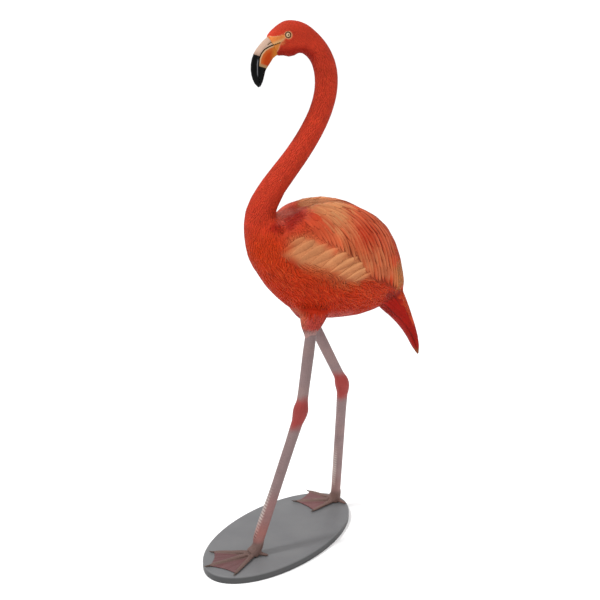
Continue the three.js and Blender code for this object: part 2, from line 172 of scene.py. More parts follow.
def bump_of(tree, height, strength, distance):
    """The normal of a surface raised by height."""
    relief = {"Height": height, "Strength": strength, "Distance": distance}
    return add_node(tree, "ShaderNodeBump", relief).outputs["Normal"]


def two_tones(tree, value, first, second, start=0.0, end=1.0):
    """The first swatch up to start, the second from end on, and a blend between."""
    ramp = add_node(tree, "ShaderNodeValToRGB", {"Fac": value})
    for element, swatch, position in zip(ramp.color_ramp.elements, (first, second), (start, end)):
        element.position = position
        element.color = shader(swatch)
    return ramp.outputs["Color"]


def new_material(name):
    """An empty node material with its Principled shader."""
    material = bpy.data.materials.new(name)
    material.use_nodes = True
    return material, material.node_tree, material.node_tree.nodes["Principled BSDF"]


def place_of(tree):
    """The object's own coordinates."""
    return add_node(tree, "ShaderNodeTexCoord").outputs["Object"]


def stored(tree, name, output):
    """An attribute stored in the mesh's points."""
    return add_node(tree, "ShaderNodeAttribute", attribute_name=name).outputs[output]


print("coral red as pigment", pigment("#B93A2B").round(3))


# %% Ranges and directions
def smooth_step(value, low, high):
    """0 up to low, 1 from high on, and a smooth rise between."""
    t = np.clip((value - low) / (high - low), 0, 1)
    return t * t * (3 - 2 * t)


def fall(value, low, high):
    """1 up to low, 0 from high on, and a smooth fall between."""
    return 1 - smooth_step(value, low, high)


def unit(vectors):
    """The same directions, each one long."""
    return vectors / np.maximum(np.linalg.norm(vectors, axis=-1, keepdims=True), 1e-9)


print("a third of the way up a smooth step", round(float(smooth_step(1 / 3, 0, 1)), 3))


# %% Mesh helpers
def merged_copy(nodes, grow):
    """One bmesh from copies of CAD nodes, merged, each pushed out by grow so that neighbours meet."""
    bm = bmesh.new()
    for node in nodes:
        bm.from_mesh(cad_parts[node].data)
    bmesh.ops.remove_doubles(bm, verts=bm.verts, dist=0.01 * MM)
    bm.normal_update()
    pushed = [(v, v.co + v.normal * grow) for v in bm.verts]
    for vert, place in pushed:
        vert.co = place
    return bm


def rotate(bm, verts, axis, angle):
    """Turns the points about an axis through the origin."""
    bmesh.ops.rotate(bm, verts=verts, cent=(0, 0, 0), matrix=Quaternion(axis, angle).to_matrix())


def as_object(bm, name):
    """The bmesh as a smooth-shaded object in the scene."""
    mesh = bpy.data.meshes.new(name)
    bm.to_mesh(mesh)
    bm.free()
    mesh.shade_smooth()
    made = bpy.data.objects.new(name, mesh)
    scene.collection.objects.link(made)
    return made


def bake_modifiers(made):
    """Applies the object's modifiers to its mesh."""
    graph = bpy.context.evaluated_depsgraph_get()
    mesh = bpy.data.meshes.new_from_object(made.evaluated_get(graph))
    made.modifiers.clear()
    made.data = mesh
    mesh.materials.clear()
    mesh.shade_smooth()


def relax(made, rounds, share=None):
    """Smooths the object rounds times, each point by its share."""
    smooth = made.modifiers.new("relax", "SMOOTH")
    smooth.factor = 0.5
    smooth.iterations = rounds
    if share is not None:
        group = made.vertex_groups.new(name="share")
        for index in np.flatnonzero(share > LEAST_SHARE):
            group.add([int(index)], float(share[index]), "REPLACE")
        smooth.vertex_group = "share"
    bake_modifiers(made)
    made.vertex_groups.clear()


def remeshed(bm, name, voxel):
    """A single even surface round the bmesh's solids."""
    made = as_object(bm, name)
    remesh = made.modifiers.new("one surface", "REMESH")
    remesh.mode = "VOXEL"
    remesh.voxel_size = voxel
    bake_modifiers(made)
    return made


def coordinates(made):
    """The mesh's points, one row each."""
    co = np.empty(len(made.data.vertices) * 3)
    made.data.vertices.foreach_get("co", co)
    return co.reshape(-1, 3)


def normals(made):
    """The normals at the mesh's points."""
    no = np.empty(len(made.data.vertices) * 3, np.float32)
    made.data.vertex_normals.foreach_get("vector", no)
    return no.reshape(-1, 3).astype(float)


def set_coordinates(made, co):
    """Moves the mesh's points."""
    made.data.vertices.foreach_set("co", co.astype(np.float32).ravel())
    made.data.update()


def set_colour(made, colour):
    """Stores linear colours per point in the attribute named paint."""
    attribute = made.data.attributes.new("paint", "FLOAT_COLOR", "POINT")
    full = np.ones((len(colour), 4), np.float32)
    full[:, :3] = np.clip(colour, 0, 1)
    attribute.data.foreach_set("color", full.ravel())


def ripple(points, scale, seed=0.0):
    """Smooth noise from -1 to 1 at each point, with features 1/scale metres across."""
    shift = Vector((seed, seed * 1.7, seed * 0.3))
    return np.array([noise.noise(Vector(p) * scale + shift) for p in points])


def finish_piece(made, material, slot, nodes=()):
    """Gives the piece its material and its body, and hides the nodes it stands for; slot is not used."""
    made.data.materials.append(material)
    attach(made, "root")
    if nodes:
        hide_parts(*nodes)
    made.data.calc_loop_triangles()
    print(made.name, len(made.data.loop_triangles), "triangles")


print("a piece gets its material, slot, body and nodes from", finish_piece.__name__)

# %% [markdown]
# ## The paint of the plumage
# The cast is sprayed coral red and then brushed by hand: cream on the wing coverts,
# peach on the shoulder feathers, deep red under the wings and on the tail. The grooves,
# the underside, the throat and the hollows by the neck get painted shade; the crests get
# painted highlights, and two slopes that lie in shade get painted light. Skin and feathers
# both ask one function for their colour, so that the markings run on from one to the other.
# A marking is a soft-edged shape seen from the side, in (y, z) metres, because both sides are painted alike.

# %% Markings
CORAL = pigment("#C23B1D")
NECK_CORAL = pigment("#C43E2B")
# painted shade of the underside
BELLY_SHADE_RED = pigment("#BC3210")
# painted shade under the head
THROAT_SHADE_RED = pigment("#96231A")
# painted shade between the shoulder feathers
GAP_SHADE_RED = pigment("#8A3420")
PAINTED_SHADE_TINT = np.array([0.50, 0.34, 0.30])  # what painted shade in the grooves leaves of each colour

MARKINGS = [  # swatch, softness and outline in millimetres, with its strength
    ("#C8472E", 40, 0.9, [(-20, 935), (30, 975), (83, 995), (110, 950), (100, 915), (40, 915),
        (-10, 905)]),
    ("#C55436", 30, 0.8, [(20, 925), (70, 955), (120, 920), (110, 890), (60, 900)]),
    # painted shade: dark red in the crease where the neck meets the body
    ("#9E2219", 18, 0.9, [(-7, 943), (-30, 934), (-42, 944), (-20, 957), (5, 957), (14, 950)]),
    ("#BC6340", 40, 1.0, [(80, 975), (100, 990), (160, 975), (185, 945), (180, 900), (200, 850),
        (146, 872), (112, 900), (98, 935)]),
    ("#C08055", 40, 1.0, [(70, 980), (60, 1020), (200, 1010), (185, 972), (155, 958), (150, 935),
        (130, 935), (112, 960)]),
    ("#BE573A", 50, 0.95, [(178, 965), (200, 1000), (270, 970), (320, 890), (325, 845), (285, 865),
        (240, 872), (190, 890), (178, 930)]),
    ("#B2331F", 34, 1.0, [(184, 935), (205, 948), (232, 935), (250, 908), (240, 880), (215, 874),
        (195, 890), (184, 910)]),
    ("#BE6642", 34, 1.0, [(192, 885), (221, 883), (278, 865), (296, 830), (292, 795), (262, 783),
        (220, 800), (190, 845)]),
    ("#BC4528", 22, 0.9, [(292, 900), (312, 880), (345, 820), (312, 822), (302, 850), (292, 880)]),
    ("#B96F40", 26, 1.0, [(294, 826), (350, 825), (360, 765), (335, 738), (303, 768)]),
    ("#B5532F", 45, 0.9, [(-10, 885), (10, 925), (60, 935), (130, 905), (200, 865), (225, 820),
        (210, 790), (165, 778), (120, 796), (80, 818), (40, 842)]),
    ("#CA8358", 34, 1.0, [(-4, 880), (10, 917), (35, 928), (60, 924), (90, 912), (120, 898),
        (150, 880), (190, 860), (215, 830), (212, 808), (180, 795), (150, 808), (120, 830), (90, 842),
        (50, 852), (20, 862)]),
    ("#DE5E3C", 30, 0.8, [(45, 928), (70, 938), (100, 922), (130, 897), (118, 885), (80, 905)]),
    ("#C03A20", 26, 0.9, [(210, 795), (280, 780), (330, 745), (300, 720), (240, 730), (200, 765)]),
    ("#872620", 22, 0.95, [(285, 745), (345, 740), (345, 705), (295, 705)]),
    ("#9E220F", 24, 1.0, [(290, 720), (345, 715), (440, 600), (460, 500), (400, 520), (330, 630),
        (270, 680)]),
    ("#C8594A", 24, 0.95, [(-15, 955), (0, 975), (20, 995), (60, 1015), (70, 1000), (55, 978),
        (30, 965), (0, 950)]),
    ("#CC4826", 10, 0.85, [(345, 750), (362, 745), (378, 690), (402, 640), (393, 618), (370, 665),
        (350, 702), (340, 738)]),
    ("#7E4A26", 14, 0.8, [(415, 548), (450, 548), (450, 500), (410, 500)]),
]


def metres(points):
    """Points given in millimetres, in metres."""
    return [tuple(value / 1000 for value in point) for point in points]


# outline of a patch of painted light at the neck's foot
NECK_FOOT_LIGHT_PATCH = metres([(-12, 957), (-8, 976), (15, 985), (45, 985), (35, 972), (12, 960)])
# outline of the painted shade under the head, in the crook of the neck
THROAT = metres([(-5, 1382), (30, 1387), (70, 1388), (92, 1372), (98, 1330), (98, 1290), (50, 1300),
    (-10, 1360)])
# outlines of the thigh's painted highlight in front and painted shade behind
THIGH_FRONT = metres([(20, 665), (20, 710), (55, 705), (52, 670)])
THIGH_BACK = metres([(75, 655), (68, 690), (120, 700), (120, 655)])
# outline of the painted shade in the hollow behind the neck's foot
SADDLE = metres([(4, 938), (6, 968), (20, 992), (52, 1000), (50, 975), (34, 958), (12, 938)])
FACE = metres([(-22, 1414), (-9, 1413.5), (4, 1416.5), (13, 1420.5), (21, 1415), (12, 1406), (4, 1399),
    (0, 1384), (-6, 1370), (-40, 1355), (-60, 1390)])


print("markings", len(MARKINGS))


# %% Painting the plumage
def outline_mask(points, outline, soft):
    """1 inside a closed outline in (y, z), falling to 0 over soft metres across its edge."""
    spot = points[:, 1:3]
    nearest = np.full(len(spot), 1e9)
    inside = np.zeros(len(spot), bool)
    for (ay, az), (by, bz) in zip(outline, outline[1:] + outline[:1]):
        edge = np.array([by - ay, bz - az])
        rel = spot - [ay, az]
        share = np.clip(rel @ edge / (edge @ edge), 0, 1)
        nearest = np.minimum(nearest, np.linalg.norm(rel - share[:, None] * edge, axis=1))
        crosses = (az > spot[:, 1]) != (bz > spot[:, 1])
        side = ay + (spot[:, 1] - az) * (by - ay) / (bz - az if bz != az else 1e-9)
        inside ^= crosses & (spot[:, 0] < side)
    signed = np.where(inside, nearest, -nearest)
    return smooth_step(signed, -soft / 2, soft / 2)


def over(base, paint, amount):
    """base painted over by amount, from 0 to 1, with a swatch or a linear colour."""
    colour = pigment(paint) if isinstance(paint, str) else paint
    return base + (colour - base) * np.asarray(amount)[:, None]


def plumage_paint(points):
    """The painted colour of the plumage at each point."""
    x, y, z = points.T
    wander = points.copy()
    wander[:, 1] += 0.006 * ripple(points, 38, 3.1)
    wander[:, 2] += 0.006 * ripple(points, 38, 9.4)
    colour = np.tile(CORAL, (len(points), 1))
    neckness = smooth_step(z - 0.6 * y, 0.92, 1.02)
    colour = over(colour, NECK_CORAL, neckness)
    # painted shade: the lower body is painted darker where the underside lies in shade
    belly = smooth_step(0.80 - 0.25 * (y - 0.1) - z, -0.03, 0.09) * (1 - neckness)
    colour = over(colour, BELLY_SHADE_RED, belly)
    for swatch, soft, strength, outline in MARKINGS:
        colour = over(colour, swatch, strength * outline_mask(wander, metres(outline), soft / 1000))
    apart = np.abs(x) + 0.005 * ripple(points, 40, 2.0)
    # painted shade in the hollow behind the neck's foot, reaching further in towards the middle on the near
    # (left) side than on the far side
    hollow_shade = outline_mask(points, SADDLE, 0.018) * fall(apart, 0.066, 0.090)
    hollow_shade = hollow_shade * np.where(x > 0, smooth_step(apart, 0.008, 0.034), smooth_step(apart, 0.050, 0.070))
    colour = over(colour, "#92221A", 0.9 * hollow_shade)
    # painted light: a lighter coral on the far side of the neck's foot, which lies in the neck's shadow
    neck_foot_light = outline_mask(points, NECK_FOOT_LIGHT_PATCH, 0.012)
    colour = over(colour, "#E0705C", 0.8 * neck_foot_light * fall(x, 0.018, 0.040))
    # painted light: a lighter peach on the inner slopes either side of the back's middle, which face away
    # from the key lamp
    inner_slope_light = smooth_step(apart, 0.006, 0.016) * fall(apart, 0.030, 0.040) * smooth_step(z, 0.955, 0.975)
    inner_slope_light = inner_slope_light * smooth_step(y, 0.060, 0.085) * fall(y, 0.17, 0.22) * (z < 1.03)
    colour = over(colour, "#EBA074", 0.85 * inner_slope_light)
    # painted shade under the head, in the crook of the neck
    throat_shade = outline_mask(points, THROAT, 0.018)
    colour = over(colour, THROAT_SHADE_RED, 0.85 * throat_shade)
    thigh = smooth_step(0.708 - z, 0, 0.02) * (y < 0.2) * (z > 0.6)
    colour = over(colour, "#C2534A", 0.9 * thigh)
    # painted highlight on the thigh's front, and painted shade at its back
    thigh_front_highlight = outline_mask(points, THIGH_FRONT, 0.03)
    colour = over(colour, "#CE8A66", 0.5 * thigh_front_highlight)
    behind = outline_mask(points, THIGH_BACK, 0.03)
    colour = over(colour, "#A8352C", 0.6 * behind)
    shin = smooth_step(0.669 + 0.007 * ripple(points, 60, 7.0) - z, 0, 0.016) * (y < 0.25)
    colour = over(colour, "#98807C", 0.85 * shin)
    return colour


print("paint of the flank", plumage_paint(np.array([[0.1, 0.1, 0.8]])).round(3))

# %% The painted face
MOUTH = metres([(3, 1398.7), (-11, 1394), (-24, 1389.5), (-35.5, 1383), (-44, 1373.5), (-49, 1362),
    (-51, 1346), (-50.5, 1326), (-48, 1308), (-44, 1285)])
NOSTRIL = metres([(-27, 1393.5), (-20, 1398.5), (-11, 1401.5)])
EYE_PLACE = (0.0166, 0.022, 1.4165)  # of the left eye
EYE_RADIUS = 0.0084


def ring_distance(points):
    """Distance in the side view from each point to the eye's middle."""
    return np.hypot(points[:, 1] - EYE_PLACE[1], points[:, 2] - EYE_PLACE[2])


def line_gap(points, line):
    """Distance in the side view from each point to a polyline in (y, z)."""
    spot = points[:, 1:3]
    nearest = np.full(len(spot), 1e9)
    for a, b in zip(line, line[1:]):
        a, b = np.array(a), np.array(b)
        share = np.clip((spot - a) @ (b - a) / ((b - a) @ (b - a)), 0, 1)
        nearest = np.minimum(nearest, np.linalg.norm(spot - a - share[:, None] * (b - a), axis=1))
    return nearest


def face_paint(points, colour):
    """Adds the bare face round the bill and the cream ring round each eye."""
    edge = outline_mask(points, FACE, 0.0035)
    brow = smooth_step(points[:, 2] + 0.2 * points[:, 1], 1.418, 1.436) * fall(points[:, 1], 0.02, 0.045)
    colour = over(colour, "#A23A2A", 0.7 * brow * (1 - edge))
    cheek_glow = fall(np.hypot(points[:, 1] - 0.008, points[:, 2] - 1.4005), 0.003, 0.011)
    colour = over(colour, "#D28250", 0.65 * cheek_glow * (1 - edge))
    colour = over(colour, "#CF9A72", edge)
    inner = outline_mask(points, FACE, 0.008)
    over_mouth = points[:, 2] - 0.40 * points[:, 1] - 1.397
    lore = smooth_step(inner, 0.5, 0.95) * smooth_step(over_mouth, -0.001, 0.001)
    colour = over(colour, "#D3A06A", lore)
    colour = over(colour, "#CC783F", lore * smooth_step(over_mouth, 0.003, 0.012))
    cheek = smooth_step(inner, 0.5, 0.95) * fall(over_mouth, -0.001, 0.001)
    colour = over(colour, "#C97A3A", cheek)
    corner = fall(line_gap(points, MOUTH), 0.0008, 0.0016)
    colour = over(colour, "#38280F", corner * (points[:, 2] > 1.385))
    ring = ring_distance(points)
    colour = over(colour, "#D08F66", fall(ring, 0.0090, 0.0106))
    colour = over(colour, "#4A2815", fall(ring, 0.0072, 0.0082))
    return colour


print("face outline points", len(FACE), "mouth points", len(MOUTH))

# %% [markdown]
# ## One skin over body, neck and head
# On the cast, body, neck and head are one surface with no joins. The solid model has
# them as separate nodes, so copies of these are grown by less than a millimetre until
# they touch, wrapped in one even grid of small faces, and relaxed, which also rounds
# the flat facets. The head keeps more of its shape and gets a finer grid. After that the
# thighs' tops are drawn in under the belly and softened, the neck's foot gets a notch
# behind and a shallow saddle, the eye sockets are opened, and the whole skin is drawn in
# by the depth of the feathers that are laid on it.

# %% Wrap the skin
FLESH = ["trunk", "neck_root", "neck_lower", "neck_middle", "neck_upper", "neck_crook", "head",
         "wing_left", "wing_right", "tail", "thigh_left", "thigh_right"]
SKIN_GROW = 0.45 * MM  # closes the gaps between neighbours
SKIN_VOXEL = 3.15 * MM
HEAD_HOLD = 0.85  # how much of the smoothing the head is spared
COAT_DEPTH = 1.2 * MM
THIGH_STEP = 3.2 * MM  # from the thighs' plumage in to the bare legs
NOTCH_DEPTH = 15 * MM
SADDLE_DEPTH = 9 * MM
THIGH_TOPS = {1: (0.045, 0.078), -1: (0.050, 0.115)}  # each side's distance from the middle, and y
BELLY_EDGE = 0.732  # height where the belly turns into the thighs


def head_share(points):
    """1 on the head and bill base, 0 from the upper neck down."""
    return smooth_step(points[:, 2] - 0.9 * points[:, 1], 1.27, 1.33) * (points[:, 2] > 1.33)


skin = remeshed(merged_copy(FLESH, SKIN_GROW), "skin_plumage", SKIN_VOXEL)
relax(skin, 26, 1 - HEAD_HOLD * head_share(coordinates(skin)))
bm = bmesh.new()
bm.from_mesh(skin.data)
head_edges = [e for e in bm.edges if all(v.co.z - 0.9 * v.co.y > 1.32 and v.co.z > 1.35 for v in e.verts)]
bmesh.ops.subdivide_edges(bm, edges=head_edges, cuts=1, use_grid_fill=True)
head_verts = [v for v in bm.verts if v.co.z - 0.9 * v.co.y > 1.325 and v.co.z > 1.36]
for _ in range(4):
    bmesh.ops.smooth_vert(bm, verts=head_verts, factor=0.5,
                          use_axis_x=True, use_axis_y=True, use_axis_z=True)
bm.to_mesh(skin.data)
bm.free()
skin.data.shade_smooth()
print("skin faces", len(skin.data.polygons), "head edges", len(head_edges))


# %% Draw in the thighs, the neck's foot and the eye sockets
def mound(value, middle, width):
    """1 at the middle, falling off on both sides like a bell."""
    return np.exp(-(((value - middle) / width) ** 2))


points = coordinates(skin)
for side, (_, thigh_y) in THIGH_TOPS.items():
    outer = points[:, 0] * side
    lengthwise = np.abs(points[:, 1] - thigh_y)
    belly = (np.abs(points[:, 2] - BELLY_EDGE) < 5 * MM) & (outer > 0.03) & (lengthwise < 0.07)
    stations = np.arange(thigh_y - 0.06, thigh_y + 0.061, 0.01)
    widest = [outer[belly & (np.abs(points[:, 1] - y) < 8 * MM)].max() for y in stations]
    lower_down = smooth_step(BELLY_EDGE - 0.022 - points[:, 2], 0, 0.05)
    limit = np.interp(points[:, 1], stations, widest) + 1 * MM + 11 * MM * lower_down
    shelf = (points[:, 2] < BELLY_EDGE) & (points[:, 2] > 0.62) & (lengthwise < 0.06)
    points[:, 0] -= side * np.where(shelf, np.clip(outer - limit, 0, None), 0)
notch = mound(points[:, 1], 0.002, 0.022) * mound(points[:, 2], 0.965, 0.035)
notch = notch * fall(np.abs(points[:, 0]), 0.06, 0.10)
saddle = mound(points[:, 1], 0.035, 0.030) * mound(points[:, 0], 0, 0.030)
saddle = saddle * (points[:, 2] > 0.93) * fall(points[:, 2], 1.00, 1.03)
points[:, 2] -= NOTCH_DEPTH * notch + SADDLE_DEPTH * saddle
points[:, 1] -= 4 * MM * notch
set_coordinates(skin, points)
junction = smooth_step(points[:, 2], 0.645, 0.675) * fall(points[:, 2], 0.725, 0.76)
from_thigh = [np.hypot(points[:, 0] * side - x, points[:, 1] - y) for side, (x, y) in THIGH_TOPS.items()]
relax(skin, 60, junction * fall(np.min(from_thigh, axis=0), 0.055, 0.085))
points = coordinates(skin)
ring = ring_distance(points)
ball = EYE_PLACE[0] + np.sqrt(np.clip(EYE_RADIUS**2 - ring**2, 0, None)) - 0.7 * MM
proud = np.clip(np.abs(points[:, 0]) - ball, 0, None) * fall(ring, 0.0060, 0.0078) * (points[:, 2] > 1.38)
points[:, 0] -= np.sign(points[:, 0]) * proud
set_coordinates(skin, points)
coat_depth = COAT_DEPTH * (1 - 0.85 * smooth_step(points[:, 2], 1.0, 1.1))
thigh_end = THIGH_STEP * smooth_step(0.668 - points[:, 2], 0, 0.022)
thigh_end = thigh_end * (points[:, 2] > 0.6) * (points[:, 1] < 0.25)
set_coordinates(skin, points - normals(skin) * (coat_depth + thigh_end)[:, None])
print("skin drawn in for a coat of", round(COAT_DEPTH / MM, 2), "mm")

# %% [markdown]
# ## The lie of the feathers
# Feathers point down the neck, curl round the breast and run back along the body to
# the tail. A few streamlines in the middle plane hold that; the direction anywhere is
# the mean of the nearest ones, laid flat on the skin.

# %% Streamlines
STREAMS = [  # (x, y, z) in millimetres, from head to tail
    [(0, -10, 1425), (0, 30, 1411), (0, 58, 1411), (0, 88, 1397), (0, 117, 1365), (0, 131, 1322),
     (0, 130, 1275), (0, 115, 1225), (0, 89, 1175), (0, 55, 1125), (0, 15, 1075), (0, -23, 1025),
     (0, -44, 975), (0, -45, 925), (0, -35, 870), (0, 10, 800), (0, 80, 745), (0, 160, 715),
     (0, 250, 690), (0, 330, 640), (0, 380, 590), (0, 429, 521)],
    [(0, 10, 930), (0, 70, 890), (0, 140, 850), (0, 210, 810), (0, 290, 760), (0, 350, 700),
     (0, 400, 620)],
    [(0, 20, 965), (0, 80, 985), (0, 150, 975), (0, 220, 945), (0, 280, 895), (0, 325, 830),
     (0, 345, 760), (0, 360, 700)],
    [(50, 90, 720), (55, 75, 680), (56, 70, 620)],
    [(-50, 100, 720), (-50, 120, 680), (-52, 140, 620)],
]
STREAM_STEP = 0.012


def resampled(line, step):
    """Points every step metres along a polyline, with the direction at each."""
    line = np.array(line, float)
    length = np.concatenate([[0], np.cumsum(np.linalg.norm(np.diff(line, axis=0), axis=1))])
    stations = np.arange(0, length[-1], step)
    places = np.stack([np.interp(stations, length, line[:, k]) for k in range(3)], axis=1)
    return places, unit(np.gradient(places, axis=0))


stream_samples = [resampled(metres(line), STREAM_STEP) for line in STREAMS]
stream_places = np.concatenate([places for places, _ in stream_samples])
stream_ways = np.concatenate([ways for _, ways in stream_samples])


def lie_of(points, normal):
    """The direction in which feathers point, laid on the surface."""
    way = np.zeros_like(points)
    for start in range(0, len(points), 20000):
        part = points[start : start + 20000]
        gap = ((part[:, None, :] - stream_places[None]) ** 2).sum(-1) + 1e-4
        weight = gap**-2.5
        way[start : start + 20000] = (weight @ stream_ways) / weight.sum(1, keepdims=True)
    way -= normal * (way * normal).sum(1, keepdims=True)
    return unit(way)


def turned(way, normal, angle):
    """way turned about normal by angle."""
    side = np.cross(normal, way)
    return way * np.cos(angle)[:, None] + side * np.sin(angle)[:, None]


main_line, main_ways = stream_samples[0]


def unwrap(points):
    """The skin's own unwrap: round the body's long axis, and along it from bill to tail."""
    flat = []
    for point in points:
        index = int(np.argmin(((main_line - point) ** 2).sum(1)))
        rel = point - main_line[index]
        up = np.cross([1, 0, 0], main_ways[index])
        angle = math.atan2(rel[0], rel @ up)
        round_it = 0.5 + angle / (2 * math.pi) * 0.96
        flat.append((round_it, 0.02 + 0.96 * index / len(main_line) + 0.3 * rel @ main_ways[index]))
    return np.clip(np.array(flat), 0.004, 0.994)


print("stream samples", len(stream_places))

# %% [markdown]
# ## Feather shapes
# Every feather starts as one small closed form made by bmesh: a three-sided cone, cut
# into a few rings, for a strand or barbule of body plumage, and a thin flat grid for a
# vane of the wing or tail. Its points are stored as (along, across, height), and are
# copied onto the skin as many times as there are roots, which keeps thousands of
# feathers light and quick to make.


# %% Feather templates
def strand_template(stations):
    """A closed tapering strand: along, across and height of each point, with its triangles."""
    bm = bmesh.new()
    bmesh.ops.create_cone(bm, cap_ends=True, cap_tris=False, segments=3, radius1=1, radius2=0, depth=1)
    for station in stations:
        cut = bmesh.ops.bisect_plane(bm, geom=bm.verts[:] + bm.edges[:] + bm.faces[:],
                                     plane_co=(0, 0, station - 0.5), plane_no=(0, 0, 1))
        assert cut["geom_cut"]
    rotate(bm, bm.verts, (0, 0, 1), -math.pi / 2)
    bmesh.ops.remove_doubles(bm, verts=bm.verts, dist=1e-5)
    bmesh.ops.recalc_face_normals(bm, faces=bm.faces)
    bmesh.ops.triangulate(bm, faces=bm.faces)
    bm.verts.ensure_lookup_table()
    along = np.array([v.co.z + 0.5 for v in bm.verts])
    radius = np.maximum(1 - along, 1e-6)
    across = np.array([v.co.x for v in bm.verts]) / radius
    height = np.array([v.co.y for v in bm.verts]) / radius
    tip = along > 0.999
    across[tip] = 0
    height[tip] = 0
    ring = ~tip
    height[ring] = (height[ring] - height[ring].min()) / np.ptp(height[ring])
    across[ring] /= np.abs(across[ring]).max()
    triangles = np.array([[v.index for v in f.verts] for f in bm.faces])
    bm.free()
    return along, across, height, triangles


def vane_template(columns, rows):
    """A closed thin blade: along, across and height (1 on the face, 0 underneath)."""
    bm = bmesh.new()
    bmesh.ops.create_grid(bm, x_segments=columns, y_segments=rows, size=0.5)
    bmesh.ops.solidify(bm, geom=bm.faces[:], thickness=0.1)
    bmesh.ops.recalc_face_normals(bm, faces=bm.faces)
    bmesh.ops.triangulate(bm, faces=bm.faces)
    bm.verts.ensure_lookup_table()
    co = np.array([v.co for v in bm.verts])
    triangles = np.array([[v.index for v in f.verts] for f in bm.faces])
    bm.free()
    height = (co[:, 2] > co[:, 2].mean()).astype(float)
    return co[:, 1] + 0.5, co[:, 0] * 2, height, triangles


STRAND = strand_template((0.2, 0.5, 0.8))
BARBULE = strand_template((0.4, 0.75))
VANE = vane_template(6, 10)
for label, template in (("strand", STRAND), ("barbule", BARBULE), ("vane", VANE)):
    print(label, len(template[0]), "points", len(template[3]), "triangles")

# %% Finding the skin
skin_tree = BVHTree.FromObject(skin, bpy.context.evaluated_depsgraph_get())


def onto_skin(points):
    """Each point moved to the nearest place on the skin, with the normal there."""
    shape = points.shape
    flat = points.reshape(-1, 3)
    places, ups = np.empty_like(flat), np.empty_like(flat)
    for i, point in enumerate(flat):
        place, up, _, _ = skin_tree.find_nearest(point)
        places[i], ups[i] = place, up
    return places.reshape(shape), ups.reshape(shape)


def from_side(y, z, side=1):
    """The skin's outer point on one side at height z and length y."""
    hit, _, _, _ = skin_tree.ray_cast(Vector((0.4 * side, y, z)), Vector((-side, 0, 0)))
    return np.array(hit)


def march(starts, field, steps, step):
    """Walks over the skin from each start along field, and returns steps + 1 points for each."""
    place, up = onto_skin(np.array(starts, float))
    line = [place]
    for _ in range(steps):
        way = field(place)
        way -= up * (way * up).sum(1, keepdims=True)
        place, up = onto_skin(place + unit(way) * step)
        line.append(place)
    return np.stack(line, axis=1)


print("flank point", from_side(0.1, 0.8).round(3))


# %% Building feather meshes
BAKE_PATCH = (0.0015, 0.003)  # half width and length of a feather in the bake map


def both_sides(points):
    """The points, and after them their mirror images."""
    return np.concatenate([points, points * [-1, 1, 1]])


def knots_at(along, knots):
    """The knot before each station on a line, and the share of the way to the next knot."""
    spot = along * (knots - 1)
    low = np.clip(spot.astype(int), 0, knots - 2)
    return low, (spot - low)[None, :, None]


def blended(values, low, share):
    """Values given at the knots of each line, at the stations between."""
    return values[:, low] * (1 - share) + values[:, low + 1] * share


def line_normals(lines, low, share):
    """Normals of the skin along each centre line, looked up once per knot."""
    return unit(blended(onto_skin(lines)[1], low, share))


def faced_out(co, triangles):
    """The triangles of each closed feather, turned round where they would face inwards."""
    corners = co[:, triangles] - co.mean(axis=1)[:, None, None]
    volume = (corners[:, :, 0] * np.cross(corners[:, :, 1], corners[:, :, 2])).sum(axis=(1, 2))
    return np.where((volume < 0)[:, None, None], triangles[None, :, ::-1], triangles[None])


def triangle_mesh(name, co, tris, uv):
    """A smooth-shaded object from points and triangles, with uv as its bake map."""
    mesh = bpy.data.meshes.new(name)
    mesh.vertices.add(len(co))
    mesh.vertices.foreach_set("co", co.astype(np.float32).ravel())
    mesh.loops.add(tris.size)
    mesh.loops.foreach_set("vertex_index", tris.astype(np.int32).ravel())
    mesh.polygons.add(len(tris))
    mesh.polygons.foreach_set("loop_start", np.arange(0, tris.size, 3, dtype=np.int32))
    mesh.update(calc_edges=True)
    mesh.validate()
    mesh.shade_smooth()
    bake_map = mesh.uv_layers.new(name="OFBake")
    bake_map.data.foreach_set("uv", uv[tris.ravel()].astype(np.float32).ravel())
    made = bpy.data.objects.new(name, mesh)
    scene.collection.objects.link(made)
    return made


print("knots before the root, middle and tip", knots_at(np.array([0, 0.5, 1]), 5)[0])


